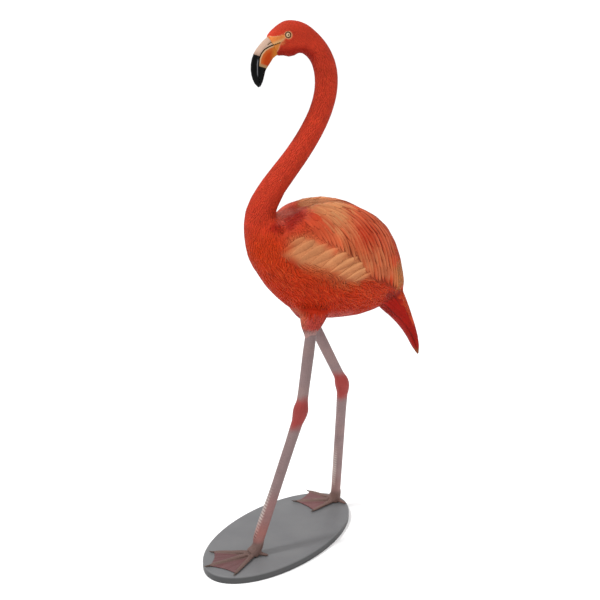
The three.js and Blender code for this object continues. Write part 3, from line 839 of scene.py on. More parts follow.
# %% Laying feathers
def lay_feathers(name, template, lines, half_width, taper, rise, crown, colour_of, tint,
                 bulk=1.0, mirror=False):
    """Joins one feather for each centre line into one mesh.
    lines: (n, k, 3) centre points from root to tip. half_width: (n,). taper(t): the outline.
    rise(t): how far the feather stands off the skin. crown(t, w): its own relief.
    tint: (n,) brightness. bulk: (n,) share of the full relief. mirror adds the other side's."""
    along, across, height, triangles = template
    count, knots = lines.shape[:2]
    low, share = knots_at(along, knots)
    centres = blended(lines, low, share)
    ways = unit(lines[:, low + 1] - lines[:, low])
    centres, ups = onto_skin(centres) if template is VANE else (centres, line_normals(lines, low, share))
    sides = unit(np.cross(ups, ways))
    reach = half_width[:, None] * (taper(along) * across)[None]
    co = centres + sides * reach[..., None]
    if template is VANE:
        co, ups = onto_skin(co)
    lift = rise(along)[None] + crown(along, across)[None] * height[None]
    lift = lift * (np.ones(count) * bulk)[:, None]
    co = co + ups * lift[..., None]
    colour = colour_of(lines, along, across, height) * tint[:, None, None]
    roots = unwrap(lines[:, 0])
    patch = np.stack([BAKE_PATCH[0] * across * taper(along), BAKE_PATCH[1] * (along - 0.5)], axis=1)
    first = (np.arange(count) * len(along))[:, None, None]
    tris = (faced_out(co, triangles) + first).reshape(-1, 3)
    co, colour = co.reshape(-1, 3), colour.reshape(-1, 3)
    uv = (roots[:, None] + patch[None]).reshape(-1, 2)
    if mirror:
        tris = np.concatenate([tris, tris[:, ::-1] + len(co)])
        co = both_sides(co)
        colour = np.concatenate([colour, colour])
        uv = np.concatenate([uv, uv * [-1, 1] + [1, 0]])
    made = triangle_mesh(name, co, tris, uv)
    set_colour(made, colour)
    return made


print("a feather's patch in the bake map", BAKE_PATCH)


# %% Choosing where feathers grow
def spread_roots(points, spacing, seed):
    """Picks points so that no two are closer than spacing, which may differ from point to point."""
    order = np.random.default_rng(seed).permutation(len(points))
    cell = float(spacing.max())
    taken, kept = {}, []
    for index in order:
        point = points[index]
        key = tuple((point // cell).astype(int))
        near = [q for dx in (-1, 0, 1) for dy in (-1, 0, 1) for dz in (-1, 0, 1)
                for q in taken.get((key[0] + dx, key[1] + dy, key[2] + dz), ())]
        gap = spacing[index] ** 2
        if all((point[0] - q[0]) ** 2 + (point[1] - q[1]) ** 2 + (point[2] - q[2]) ** 2 > gap for q in near):
            taken.setdefault(key, []).append(point)
            kept.append(index)
    return np.array(kept)


def pick_roots(spots, wanted, spacing, seed):
    """The numbers of the wanted spots that feathers grow from, spaced out evenly."""
    index = np.flatnonzero(wanted)
    return index[spread_roots(spots[index], spacing[index], seed)]


def gap_to(points, cloud):
    """Each point's distance to the nearest point of the cloud."""
    tree = kdtree.KDTree(len(cloud))
    for index, point in enumerate(cloud):
        tree.insert(point, index)
    tree.balance()
    return np.array([tree.find(point)[2] for point in points])


def skin_spots(seed):
    """The middle of every skin face, shifted a little at random, with its normal."""
    count = len(skin.data.polygons)
    middle, up = np.empty(count * 3), np.empty(count * 3)
    skin.data.polygons.foreach_get("center", middle)
    skin.data.polygons.foreach_get("normal", up)
    shift = np.random.default_rng(seed).uniform(-0.0008, 0.0008, (count, 3))
    return middle.reshape(-1, 3) + shift, up.reshape(-1, 3)


print("spots to choose from", len(skin.data.polygons))

# %% [markdown]
# ## Paint on resin
# The cast is polyester resin with a satin acrylic topcoat. It scatters light softly,
# with a weak sheen, and its colour is never even: the brush leaves blotches a few
# centimetres across and the sprayed stipple leaves specks. The specks are drawn at
# 3 mm, coarser than real ones, so that they show.


# %% Plumage material
BLOTCH_SCALE = 32.0  # blotches to the metre


def painted_resin(name, speck_mm, speck_depth, blotch_depth, relief_mm, roughness, gloss, scales=False):
    """Satin paint whose colour comes from the paint attribute, broken by specks and blotches,
    on a surface of fine grain or of round scales."""
    material, tree, surface = new_material(name)
    place = place_of(tree)
    speck = noise_of(tree, place, 1 / (speck_mm * MM), 3.0)
    blotch = noise_of(tree, place, BLOTCH_SCALE, 2.0)
    speck_tone = mapped(tree, speck, 1 - speck_depth, 1 + speck_depth)
    blotch_tone = mapped(tree, blotch, 1 - blotch_depth, 1 + blotch_depth)
    tone = add_node(tree, "ShaderNodeMath", {0: speck_tone, 1: blotch_tone}, operation="MULTIPLY")
    if scales:
        cells = add_node(tree, "ShaderNodeTexVoronoi", {"Vector": place, "Scale": 1 / (relief_mm * MM)})
        normal = bump_of(tree, cells.outputs["Distance"], 0.5, 0.6 * MM)
    else:
        normal = bump_of(tree, noise_of(tree, place, 1 / (relief_mm * MM), 4.0), 0.35, 0.6 * MM)
    set_inputs(tree, surface, {
        "Base Color": toned(tree, stored(tree, "paint", "Color"), tone.outputs[0]),
        "Roughness": mapped(tree, speck, roughness + 0.12, roughness - 0.08, 0, 1),
        "Normal": normal,
        "Specular IOR Level": gloss,
    })
    return material


plumage = painted_resin("satin_acrylic_on_cast_resin", 3.0, 0.10, 0.09, 1.6, 0.6, 0.09)
print("plumage material ready")

# %% [markdown]
# ## Shoulder feathers and coverts
# Long pointed shoulder feathers fall from the middle of the back to the ridge across the
# wing, side by side and in tiers, with a line of painted shade between each two, and one row lies
# along the middle of the back. Each is swung a little off its neighbours. Below the ridge lie
# broad cream coverts, like lens-shaped slats, each with a raised crest along its upper
# edge. Both are vanes laid on the skin; the left side is made and mirrored. Their crests
# get a painted highlight and their valleys painted shade.

# %% Centre lines of the scapulars
RIDGE = metres([(88, 908), (103, 902), (121, 891), (146, 876), (173, 858), (188, 849), (199, 834),
    (214, 814), (228, 799), (254, 786), (280, 774), (305, 760), (330, 744)])
SCAPULAR_SPACING = 12.5 * MM
SCAPULAR_LENGTH = (80, 125)  # this and the next three are drawn at random, in millimetres
SCAPULAR_WIDTH = (5.4, 7.8)
TIER_STEP = (42, 60)
FIRST_STEP = 9
SPINE_ROW = np.arange(0.055, 0.27, 0.021)  # where each feather of the middle row starts
NECK_FOOT = 0.945  # where the back turns up into the neck, as z - 0.6 y
MARCH_STEP = 4 * MM
MARCH_STEPS = 85


def dense(lines):
    """Points every few millimetres along the middle lines."""
    share = np.linspace(0, 1, 4)[:, None, None, None]
    return (lines[None, :, :-1] * (1 - share) + lines[None, :, 1:] * share).reshape(-1, 3)


def scapular_field(place):
    """Down and back, steeper towards the ridge, and away from the middle line on top."""
    slope = -np.radians(np.interp(place[:, 2], [0.80, 0.90, 0.96, 1.0], [70, 70, 50, 34]))
    outwards = np.interp(place[:, 0], [0.0, 0.07], [0.45, 0.14]) + 0.22 * ripple(place, 30, 4.0)
    return np.stack([outwards, np.cos(slope), np.sin(slope)], axis=1)


def from_top(x, y):
    """The skin's upper point of the back at x and y."""
    hit, _, _, _ = skin_tree.ray_cast(Vector((x, y, 1.03)), Vector((0, 0, -1)))
    return np.array(hit)


ends, _ = resampled([(0, y, z) for y, z in RIDGE], SCAPULAR_SPACING)
ends = np.array([from_side(y, z) for _, y, z in ends])
trails = march(ends, lambda place: -scapular_field(place), MARCH_STEPS, MARCH_STEP)
random = np.random.default_rng(31)
lines, width, tint, bulk = [], [], [], []
VANE_KNOTS = 8
for j, trail in enumerate(trails):
    inside = (trail[:, 0] > 0.004) & (trail[:, 2] - 0.6 * trail[:, 1] < NECK_FOOT)
    reach = len(trail) if inside.all() else int(np.argmin(inside))
    kept = trail[:reach]
    low = int(random.uniform(0, FIRST_STEP) * MM / MARCH_STEP)
    while True:
        length = random.uniform(*SCAPULAR_LENGTH) * MM
        high = min(low + int(length / MARCH_STEP), len(kept) - 1)
        if high - low < 7:
            break
        stations = np.linspace(high, low, VANE_KNOTS)
        part = [np.interp(stations, np.arange(len(kept)), kept[:, k]) for k in range(3)]
        lines.append(np.stack(part, axis=1))
        width.append(random.uniform(*SCAPULAR_WIDTH) * MM)
        tint.append(1 + random.normal(0, 0.05))
        bulk.append(min(1.0, 0.35 + 0.13 * j) * random.uniform(0.45, 1.25))
        low += int(random.uniform(*TIER_STEP) * MM / MARCH_STEP)
for k, start in enumerate(SPINE_ROW):
    share = np.linspace(0, 1, VANE_KNOTS)
    tops = [from_top((0.004, 0.011)[k % 2] + 0.004 * t, start + 0.075 * t) for t in share]
    lines.append(np.array(tops))
    width.append(7.2 * MM)
    tint.append(1 + random.normal(0, 0.05))
    bulk.append(1.0)
lines, width, tint, bulk = np.array(lines), np.array(width), np.array(tint), np.array(bulk)
swing = np.clip(random.normal(0, 2.6, len(lines)), -5, 5) * MM
lines[:, :, 1] += swing[:, None] * np.linspace(-1, 1, VANE_KNOTS)
lines = onto_skin(lines)[0]
scapular_points = dense(lines)


print("scapular lines", len(lines))


# %% Scapular vanes
def profile(stations, values, scale=1.0):
    """A function of t, along a feather, that runs through the values at the stations."""
    return lambda t, w=0: np.interp(t, stations, values) * scale


blade_taper = profile([0, 0.15, 0.5, 0.75, 0.9, 1], [0.5, 0.85, 1.0, 0.85, 0.5, 0.04])
blade_rise = profile([0, 0.4, 1], [-0.9, 0.1, 0.9], MM)


def blade_crown(t, w):
    """A low dome, higher towards one edge."""
    dome = 0.35 + 0.7 * np.sqrt(np.clip(1 - w * w, 0, 1)) + 0.6 * w
    return dome * MM * np.interp(t, [0, 0.2, 1], [0.6, 1, 0.8])


VANE_CORAL = pigment("#BE4A2C")
# the cream of the painted highlight on vane crests
VANE_HIGHLIGHT_CREAM = pigment("#E4B684")


def vane_colour(valley, crest, seed, edge=0.4, stray=0.007, blend=0.0, highlight_cream=0.0):
    """Vanes: their place's paint, with painted shade in the valley on one side and at the edges, and a
    painted highlight on the crest.
    """
    def colour_of(lines, along, across, height):
        draws = np.random.default_rng(seed)
        shift = np.zeros((len(lines), 1, 3))
        shift[:, 0, 1:] = draws.normal(0, stray, (len(lines), 2))
        place = blended(lines, *knots_at(along, lines.shape[1])) + shift
        base = plumage_paint(place.reshape(-1, 3)).reshape(place.shape)
        # painted shade in the valley on one side of each vane, of random strength, and at the vane's edges
        each = draws.choice([0.0, 0.25, 0.6, 1.1], len(lines))[:, None]
        shade_side = smooth_step(-across * valley[0], valley[1], valley[2])[None]
        dark = np.clip(valley[3] * each * shade_side + edge * (1 - height)[None], 0, 0.95)[..., None]
        # painted highlight along each crest, weaker on the vanes ahead of y = 0.08 to 0.11
        ridge = smooth_step(across * valley[0], -0.1, 0.45) * fall(across * valley[0], 0.75, 1.0) * height
        behind = 0.25 + 0.75 * smooth_step(place[..., 1:2], 0.078, 0.108)
        light = (crest * ridge)[None, :, None] * draws.uniform(0.4, 1.0, len(lines))[:, None, None] * behind
        warmth = (blend * draws.random(len(lines)) ** 1.5)[:, None, None]
        base = base + (VANE_CORAL - base) * warmth
        # vanes ahead of y = 0.08 to 0.11 are painted darker
        base = base * (0.84 + 0.16 * behind)
        # the painted highlight lightens the crest and blends it towards cream
        highlighted = base * (1 + 0.25 * light) + (VANE_HIGHLIGHT_CREAM - base) * highlight_cream * np.clip(light, 0, 1)
        return highlighted * (1 - dark) + base * PAINTED_SHADE_TINT * 0.7 * dark
    return colour_of


scapular_colour = vane_colour((1, 0.40, 0.72, 1.2), 0.5, 7, stray=0.009, blend=0.50, highlight_cream=0.22)
scapulars = lay_feathers("scapulars", VANE, lines, width, blade_taper, blade_rise, blade_crown,
                         scapular_colour, tint, bulk, mirror=True)
finish_piece(scapulars, plumage, "wing_plumage")

# %% Covert vanes
COVERTS = [  # tip (y, z), root (y, z), half width in mm
    ((-0.014, 0.890), (0.034, 0.922), 7.5),
    ((-0.002, 0.876), (0.058, 0.913), 9.5),
    ((0.016, 0.863), (0.090, 0.901), 11.0),
    ((0.044, 0.851), (0.118, 0.889), 11.5),
    ((0.075, 0.841), (0.146, 0.876), 11.5),
    ((0.100, 0.829), (0.172, 0.861), 11.0),
    ((0.124, 0.816), (0.194, 0.846), 10.5),
    ((0.148, 0.804), (0.208, 0.830), 9.5),
    ((0.172, 0.793), (0.222, 0.814), 8.5),
]
COVERT_START = 0.10  # as a share of a covert's length


def root_to_tip(root, tip):
    """y and z at the knots of a straight line from root to tip."""
    share = np.linspace(0, 1, VANE_KNOTS)
    return [root[k] + (tip[k] - root[k]) * share for k in (0, 1)]


def covert_line(tip, root):
    """A centre line over the skin, bowed slightly upwards, that starts a little before the root."""
    y, z = root_to_tip((1 + COVERT_START) * np.array(root) - COVERT_START * np.array(tip), tip)
    z = z + 0.0035 * np.sin(math.pi * np.linspace(0, 1, VANE_KNOTS))
    return np.array([from_side(*place) for place in zip(y, z)])


covert_taper = profile([0, 0.15, 0.4, 0.7, 0.88, 1], [0.5, 0.85, 1.0, 0.72, 0.36, 0.03])


def covert_crown(t, w):
    """A crest along the upper edge."""
    crest = smooth_step(-w, -1.0, 0.75) * (1 - 0.6 * smooth_step(-w, 0.75, 1.0))
    return (0.25 + 1.9 * crest) * MM * np.interp(t, [0, 0.25, 0.8, 1], [0.4, 1, 0.8, 0.1])


covert_rise = profile([0, 0.5, 0.85, 1], [-0.3, 0.1, 0.0, -0.3], MM)


lines = np.array([covert_line(tip, root) for tip, root, _ in COVERTS])
covert_points = dense(lines)
width = np.array([w * MM for _, _, w in COVERTS])
covert_colour = vane_colour((-1, 0.0, 0.9, 0.36), 0.8, 8, edge=0.0, stray=0.002, highlight_cream=0.28)
coverts = lay_feathers("coverts", VANE, lines, width, covert_taper, covert_rise, covert_crown,
                       covert_colour, np.ones(len(lines)), mirror=True)
finish_piece(coverts, plumage, "wing_plumage")

# %% [markdown]
# ## Tail
# The short tail is a fan of stiff feathers pressed together, deep red, with the edges
# of the upper ones showing as orange scallops along the top.

# %% Tail vanes
TAIL_VANES = [  # root (y, z), tip (y, z), half width in mm
    ((0.293, 0.700), (0.352, 0.640), 8.5),
    ((0.310, 0.690), (0.382, 0.608), 8.5),
    ((0.300, 0.714), (0.367, 0.650), 8.5),
    ((0.325, 0.694), (0.402, 0.578), 8.5),
    ((0.312, 0.722), (0.384, 0.630), 8.5),
    ((0.345, 0.680), (0.414, 0.556), 8.0),
    ((0.360, 0.654), (0.424, 0.534), 7.0),
    ((0.322, 0.742), (0.350, 0.714), 9.0),
    ((0.328, 0.730), (0.356, 0.690), 9.0),
    ((0.336, 0.706), (0.367, 0.662), 8.5),
    ((0.348, 0.682), (0.380, 0.634), 8.0),
    ((0.360, 0.660), (0.392, 0.612), 7.5),
    ((0.374, 0.634), (0.404, 0.586), 7.0),
]
TAIL_SIDE = 0.05


def tail_line(root, tip):
    """A centre line over the skin of the tail's left side."""
    y, z = root_to_tip(root, tip)
    return onto_skin(np.stack([np.full(VANE_KNOTS, TAIL_SIDE), y, z], axis=1))[0]


tail_rise = profile([0, 0.4, 1], [-0.8, 0.5, 2.2], MM)


lines = np.array([tail_line(root, tip) for root, tip, _ in TAIL_VANES])
tail_points = dense(lines)
width = np.array([w * MM for _, _, w in TAIL_VANES])
tail_colour = vane_colour((1, 0.3, 0.8, 0.7), 0.12, 9, stray=0.004)
tail_coat = lay_feathers("tail_vanes", VANE, lines, width, blade_taper, tail_rise, blade_crown,
                         tail_colour, np.ones(len(lines)), mirror=True)
print("tail vanes", len(TAIL_VANES))
finish_piece(tail_coat, plumage, "coral_plumage")

# %% [markdown]
# ## Colours of the skin
# The skin carries the same markings as the feathers, with painted shade where it shows in the
# grooves between them, and the bare face round the bill is painted on it.

# %% Colour the skin
COVERT_AREA = metres([(-6, 884), (10, 908), (50, 922), (120, 894), (190, 856), (225, 820), (180, 799),
    (120, 829), (50, 855)])
points = coordinates(skin)
skin_colour = plumage_paint(points)
bare = outline_mask(points, FACE, 0.004)
# painted shade on the skin where it shows in the grooves between feathers: less on neck, head and coverts,
# none on the bare face
groove = (1 - bare) * (0.36 - 0.20 * smooth_step(points[:, 2], 1.0, 1.05))
groove = groove * smooth_step(points[:, 2], 0.65, 0.68)
groove = groove * (1 - 0.75 * outline_mask(points, COVERT_AREA, 0.02))
skin_colour = skin_colour * (1 - groove[:, None]) + skin_colour * PAINTED_SHADE_TINT * groove[:, None]
# painted shade on the skin under the shoulder feathers, where it shows between them; less on the coverts, the
# shoulder and the top of the back
between = fall(gap_to(points, both_sides(scapular_points)), 5 * MM, 8 * MM)
shoulder = fall(points[:, 1] + 0.3 * (points[:, 2] - 0.92), 0.100, 0.135)
between = between * (1 - 0.7 * outline_mask(points, COVERT_AREA, 0.03)) * (1 - 0.8 * shoulder)
skin_colour = over(skin_colour, GAP_SHADE_RED, 0.8 * between * (1 - 0.8 * smooth_step(points[:, 2], 0.95, 0.975)))
skin_colour = face_paint(points, skin_colour)
set_colour(skin, skin_colour)
finish_piece(skin, plumage, "coral_plumage", FLESH)

# %% [markdown]
# ## Body plumage
# Breast, belly and flanks are modelled as tousled wavy strands, about three to four and a
# half centimetres long and shorter towards the fine plumage, each overlapping the next.
# Roots are spread over the skin at an even distance, each strand follows the lie with a
# random swerve, and its tip stands a little proud. Crests get a painted highlight and
# roots painted shade.

# %% Strand colours and centre lines
VANE_REACH = 7 * MM  # strands start no nearer than this to the middle line of a vane


def strand_colour(crest_lift, root_dark, crest_swatch):
    """A colour function for feathers: painted shade at the root and edges, and a painted highlight on the
    crest.
    """
    crest_colour = pigment(crest_swatch)

    def colour_of(lines, along, across, height):
        middle = (lines[:, 0] + lines[:, -1]) / 2
        base = plumage_paint(middle)[:, None, :]
        # painted shade at the root, under the feather before, and along the edges
        root_shade = root_dark * fall(along, 0.0, 0.4)
        edge = root_dark * (1 - height) * (along < 0.999)
        dark = np.clip(root_shade + edge, 0, 0.9)[None, :, None]
        # painted highlight on the crest, strong on a few strands only
        highlighted = np.random.default_rng(5).random(len(lines)) ** 3
        light = crest_lift * (height * smooth_step(along, 0.2, 0.7))[None, :, None] * highlighted[:, None, None]
        shaded = base * (1 - dark) + base * PAINTED_SHADE_TINT * dark
        return shaded + (base * 0.8 + crest_colour * 0.5 - base) * light
    return colour_of


def strand_lines(roots, ways, length, curl, knots=5):
    """Slightly curved centre lines on the skin, from each root along its way."""
    ups = np.stack([onto_skin(roots)[1]] * knots, axis=1)
    share = np.linspace(0, 1, knots)[None, :, None]
    side = np.cross(ups[:, 0], ways)
    line = roots[:, None] + ways[:, None] * length[:, None, None] * share
    line = line + side[:, None] * (curl * length)[:, None, None] * share**2
    return onto_skin(line)[0]


def unbroken(lines):
    """True for each line that doesn't jump across a fold of the skin."""
    hop = np.linalg.norm(np.diff(lines, axis=1), axis=2)
    return hop.max(1) < 1.7 * np.median(hop, axis=1)


print("strands start", round(VANE_REACH / MM, 1), "mm from the middle line of a vane")


# %% Strands of breast, belly and flank
STRAND_LENGTH = (28, 46)  # in millimetres, as the three below
STRAND_WIDTH = (2.3, 4.4)
BARBULE_LENGTH = (9.0, 13.0)
BARBULE_WIDTH = (2.2, 3.2)
CALM_AREA = metres([(-130, 860), (-130, 960), (0, 990), (100, 1020), (120, 950), (100, 910), (30, 905),
    (-20, 885), (-60, 860)])


def neck_share(points):
    """1 on the neck and head, 0 on the body."""
    return smooth_step(points[:, 2] - 0.6 * points[:, 1], 0.93, 1.03)


def fine_share(points):
    """1 where the plumage is a fine grain: neck and head, shoulder and thighs. 0 where it is tousled."""
    thigh = smooth_step(0.703 - points[:, 2], 0, 0.02) * (points[:, 2] < 0.72)
    return np.maximum(np.maximum(neck_share(points), thigh), outline_mask(points, CALM_AREA, 0.03))


vane_points = both_sides(np.concatenate([scapular_points, covert_points, tail_points]))
spots, spot_ups = skin_spots(11)
fineness = fine_share(spots)
to_vane = gap_to(spots, vane_points)
on_coverts = outline_mask(spots, COVERT_AREA, 0.004) > 0.5
body_spots = (fineness < 0.55) & (to_vane > VANE_REACH) & (spots[:, 2] < 1.02) & ~on_coverts
spacing = (5.3 - 1.0 * fineness) * MM
chosen = pick_roots(spots, body_spots, spacing, 12)
roots, ups = spots[chosen], spot_ups[chosen]
random = np.random.default_rng(13)
fine = smooth_step(fineness[chosen], 0.0, 0.5)
tousled = smooth_step(ripple(roots, 11, 9.0), -0.35, 0.35)
wave = ripple(roots, 22, 1.0) * 0.9 + ripple(roots, 70, 5.0) * 0.5
rear = smooth_step(roots[:, 1], 0.16, 0.26)
breast = fall(roots[:, 1] - 0.4 * (roots[:, 2] - 0.85), -0.10, 0.0)
swerve = wave * (1 - 0.7 * fine) * (1 - 0.5 * rear) + random.normal(0, 0.09, len(roots))
ways = turned(lie_of(roots, ups), ups, swerve)
length = random.uniform(*STRAND_LENGTH, len(roots)) * MM * (1 - 0.45 * fine)
curl = ripple(roots, 45, 8.0) * 0.5 + random.normal(0, 0.08, len(roots))
lines = strand_lines(roots, ways, length, curl)
width = random.uniform(*STRAND_WIDTH, len(roots)) * MM * (1 - 0.2 * fine)
bulk = (1 - 0.5 * fine) * (1 - 0.35 * rear) * (0.70 + 0.60 * breast) * (0.5 + 0.6 * tousled)
bulk = bulk * random.uniform(0.6, 1.25, len(roots))
tint = 1 + random.normal(0, 0.06, len(roots))
whole = unbroken(lines) & (roots[:, 2] > 0.658)

strand_taper = profile([0, 0.2, 0.5, 0.8, 1], [0.4, 0.9, 1.0, 0.6, 0])
strand_rise = profile([0, 0.25, 0.5, 0.8, 1], [-0.8, -0.25, -0.05, 0.15, 0.3], MM)
strand_crown = profile([0, 0.3, 0.7, 1], [0.18, 0.60, 0.55, 0.12], MM)


halves = {"strands_front": roots[:, 1] < 0.08, "strands_rear": roots[:, 1] >= 0.08}
for name, part in halves.items():
    part = part & whole
    piece = lay_feathers(name, STRAND, lines[part], width[part], strand_taper, strand_rise, strand_crown,
                         strand_colour(0.6, 0.07, "#E07A48"), tint[part], bulk[part])
    finish_piece(piece, plumage, "coral_plumage")

# %% [markdown]
# ## Fine plumage
# The neck is covered in feathers so small that they read as a fine grain. They are laid
# as short flat barbules, about a centimetre long and half that on the head. The calm
# part of the shoulder and the thighs have the same ones, a third longer.

# %% Barbules of neck, head, shoulder and thighs
spots, spot_ups = skin_spots(21)
fineness = fine_share(spots)
headness = head_share(spots)
neckness = neck_share(spots)
bare = outline_mask(spots, FACE, 0.002)
front_cap = (spots[:, 1] < -0.004) & (spots[:, 2] < 1.405) & (spots[:, 2] > 1.34)
to_vane = gap_to(spots, vane_points)
fine_spots = (fineness >= 0.42) & (bare < 0.3) & (ring_distance(spots) > 0.0105) & ~front_cap
fine_spots = fine_spots & (to_vane > VANE_REACH) & (spots[:, 2] > 0.662)
fine_spots = fine_spots & (outline_mask(spots, COVERT_AREA, 0.004) < 0.5)
spacing = (3.6 - 0.5 * headness + 0.6 * (1 - neckness)) * MM
chosen = pick_roots(spots, fine_spots, spacing, 22)
roots, ups = spots[chosen], spot_ups[chosen]
random = np.random.default_rng(23)
size = 1 - 0.45 * headness[chosen] + 0.35 * (1 - neckness[chosen])
ways = turned(lie_of(roots, ups), ups, ripple(roots, 60, 2.0) * 0.3 + random.normal(0, 0.10, len(roots)))
length = random.uniform(*BARBULE_LENGTH, len(roots)) * MM * size
curl = random.normal(0, 0.08, len(roots))
lines = strand_lines(roots, ways, length, curl, knots=3)
width = random.uniform(*BARBULE_WIDTH, len(roots)) * MM * size
tint = 1 + random.normal(0, 0.05, len(roots))

barbule_taper = profile([0, 0.35, 0.7, 1], [0.55, 1.0, 0.8, 0])
barbule_rise = profile([0, 0.6, 1], [-0.45, 0.02, 0.2], MM)
barbule_crown = profile([0, 0.5, 1], [0.14, 0.30, 0.07], MM)


for name, part in {"barbules_lower": roots[:, 2] < 1.04, "barbules_upper": roots[:, 2] >= 1.04}.items():
    piece = lay_feathers(name, BARBULE, lines[part], width[part], barbule_taper, barbule_rise, barbule_crown,
                         strand_colour(0.4, 0.07, "#D8692F"), tint[part])
    finish_piece(piece, plumage, "coral_plumage")

# %% [markdown]
# ## Bill
# The bill has a heavy upper and a deep lower mandible, which bend down together in the
# middle. It is painted cream at the base, orange on the
# lower mandible and gloss black at the tip, with a thin dark line for the mouth. Each
# mandible is its solid wrapped in a fine grid; its rear end is drawn back into the head.

# %% Shape and paint of the bill
BILL_VOXEL = 0.8 * MM
BILL_JOINT = np.array([-0.0125, 1.3905])
BILL_WAY = np.array([-math.cos(math.radians(31)), -math.sin(math.radians(31))])


def mandible(node):
    """The node's solid with its rear face drawn back into the head, in one fine surface."""
    bm = merged_copy([node], 0.1 * MM)
    for vert in bm.verts:
        spot = np.array([vert.co.y, vert.co.z])
        if abs((spot - BILL_JOINT) @ BILL_WAY) < 0.9 * MM:
            vert.co.x *= 0.8
            vert.co.y -= BILL_WAY[0] * 5 * MM
            vert.co.z -= BILL_WAY[1] * 5 * MM
    made = remeshed(bm, "skin_" + node, BILL_VOXEL)
    relax(made, 9)
    return made


def bill_paint(points, upper):
    """Cream, orange and black of the bill, and how glossy each part is."""
    y, z = points[:, 1], points[:, 2]
    shift = 0.0006 * ripple(points, 240, 2.0)
    if upper:
        colour = np.tile(pigment("#B79A88"), (len(points), 1))
        lore = smooth_step(y + 0.3 * (z - 1.40), -0.024, -0.006)
        colour = over(colour, "#C98F55", lore)
        tip = (y + 0.0525) * -0.36 + (z - 1.3690) * -0.93
        stain = smooth_step(tip, -0.012, 0.0)
        colour = over(colour, "#95796A", 0.7 * stain)
    else:
        colour = np.tile(pigment("#B64216"), (len(points), 1))
        # painted highlight: a lighter orange along the upper part of the lower mandible, next to the mouth
        # line
        mouth_side_highlight = smooth_step(line_gap(points, MOUTH), 0.016, 0.006)
        colour = over(colour, "#C96A34", 0.6 * mouth_side_highlight)
        base = smooth_step(y, -0.024, -0.006)
        colour = over(colour, "#C4772F", base)
        rim = fall(line_gap(points, MOUTH), 0.003, 0.0055)
        colour = over(colour, "#C9A27C", rim)
        tip = (y + 0.0365) * -0.29 + (z - 1.3400) * -0.957
        colour = over(colour, "#A98660", smooth_step(tip, -0.009, -0.003))
    black = smooth_step(tip + shift, -0.0008, 0.0012)
    colour = over(colour, "#101012", black)
    if upper:
        # painted highlight: a pale grey streak on the black tip, beside the mouth line
        streak = fall(np.abs(line_gap(points, MOUTH) - 0.0032), 0.0005, 0.0016)
        streak = streak * smooth_step(z, 1.316, 1.326) * fall(z, 1.354, 1.362) * black
        colour = over(colour, "#8C8C90", 0.6 * streak)
    mouth = fall(line_gap(points, MOUTH), 0.0010, 0.0018)
    colour = over(colour, "#38280F", mouth * (1 - black))
    if upper:
        slit = fall(line_gap(points, NOSTRIL), 0.0006, 0.0013)
        colour = over(colour, "#5A4424", slit)
    return colour, 0.45 - 0.3 * black


horn, tree, surface = new_material("gloss_enamel_on_bill")
brush = noise_of(tree, place_of(tree), 420.0, 3.0)
set_inputs(tree, surface, {
    "Base Color": toned(tree, stored(tree, "paint", "Color"), mapped(tree, brush, 0.93, 1.06)),
    "Roughness": stored(tree, "dullness", "Fac"),
    "Normal": bump_of(tree, brush, 0.2, 0.3 * MM),
    "Specular IOR Level": 0.07,
})


def set_value(made, name, values):
    """Stores a number per point in the attribute of that name."""
    made.data.attributes.new(name, "FLOAT", "POINT").data.foreach_set("value", np.asarray(values, np.float32))


print("bill joint", BILL_JOINT)

# %% Bill meshes
for node in ("bill_upper", "bill_lower"):
    piece = mandible(node)
    points = coordinates(piece)
    depth = 0.7 * MM * fall(line_gap(points, NOSTRIL), 0.0004, 0.0016) * (node == "bill_upper")
    depth = depth + 0.5 * MM * fall(line_gap(points, MOUTH), 0.0002, 0.0012)
    points = points - normals(piece) * depth[:, None]
    set_coordinates(piece, points)
    colour, dull = bill_paint(points, node == "bill_upper")
    set_colour(piece, colour)
    set_value(piece, "dullness", dull)
    finish_piece(piece, horn, "bill", [node])

# %% [markdown]
# ## Eyes
# Each eye is a painted ball set in the head: a small black pupil, a pale olive iris and
# a dark rim, under a clear gloss varnish. A thin dark lid, a ring swept round the eye's
# axis, seats it in the skin.

# %% Eyeballs and lids
eye_glass, tree, surface = new_material("varnished_painted_eye")
fleck = noise_of(tree, place_of(tree), 1500.0, 2.0)
set_inputs(tree, surface, {
    "Base Color": toned(tree, stored(tree, "paint", "Color"), mapped(tree, fleck, 0.85, 1.12)),
    "Roughness": 0.25,
    "Specular IOR Level": 0.2,
    "Coat Weight": 0.03,
    "Coat Roughness": 0.15,
})
LID_RING = 6.9 * MM
LID_THICKNESS = 0.8 * MM
LID_OUT = 22.4 * MM  # distance of each lid from the middle plane

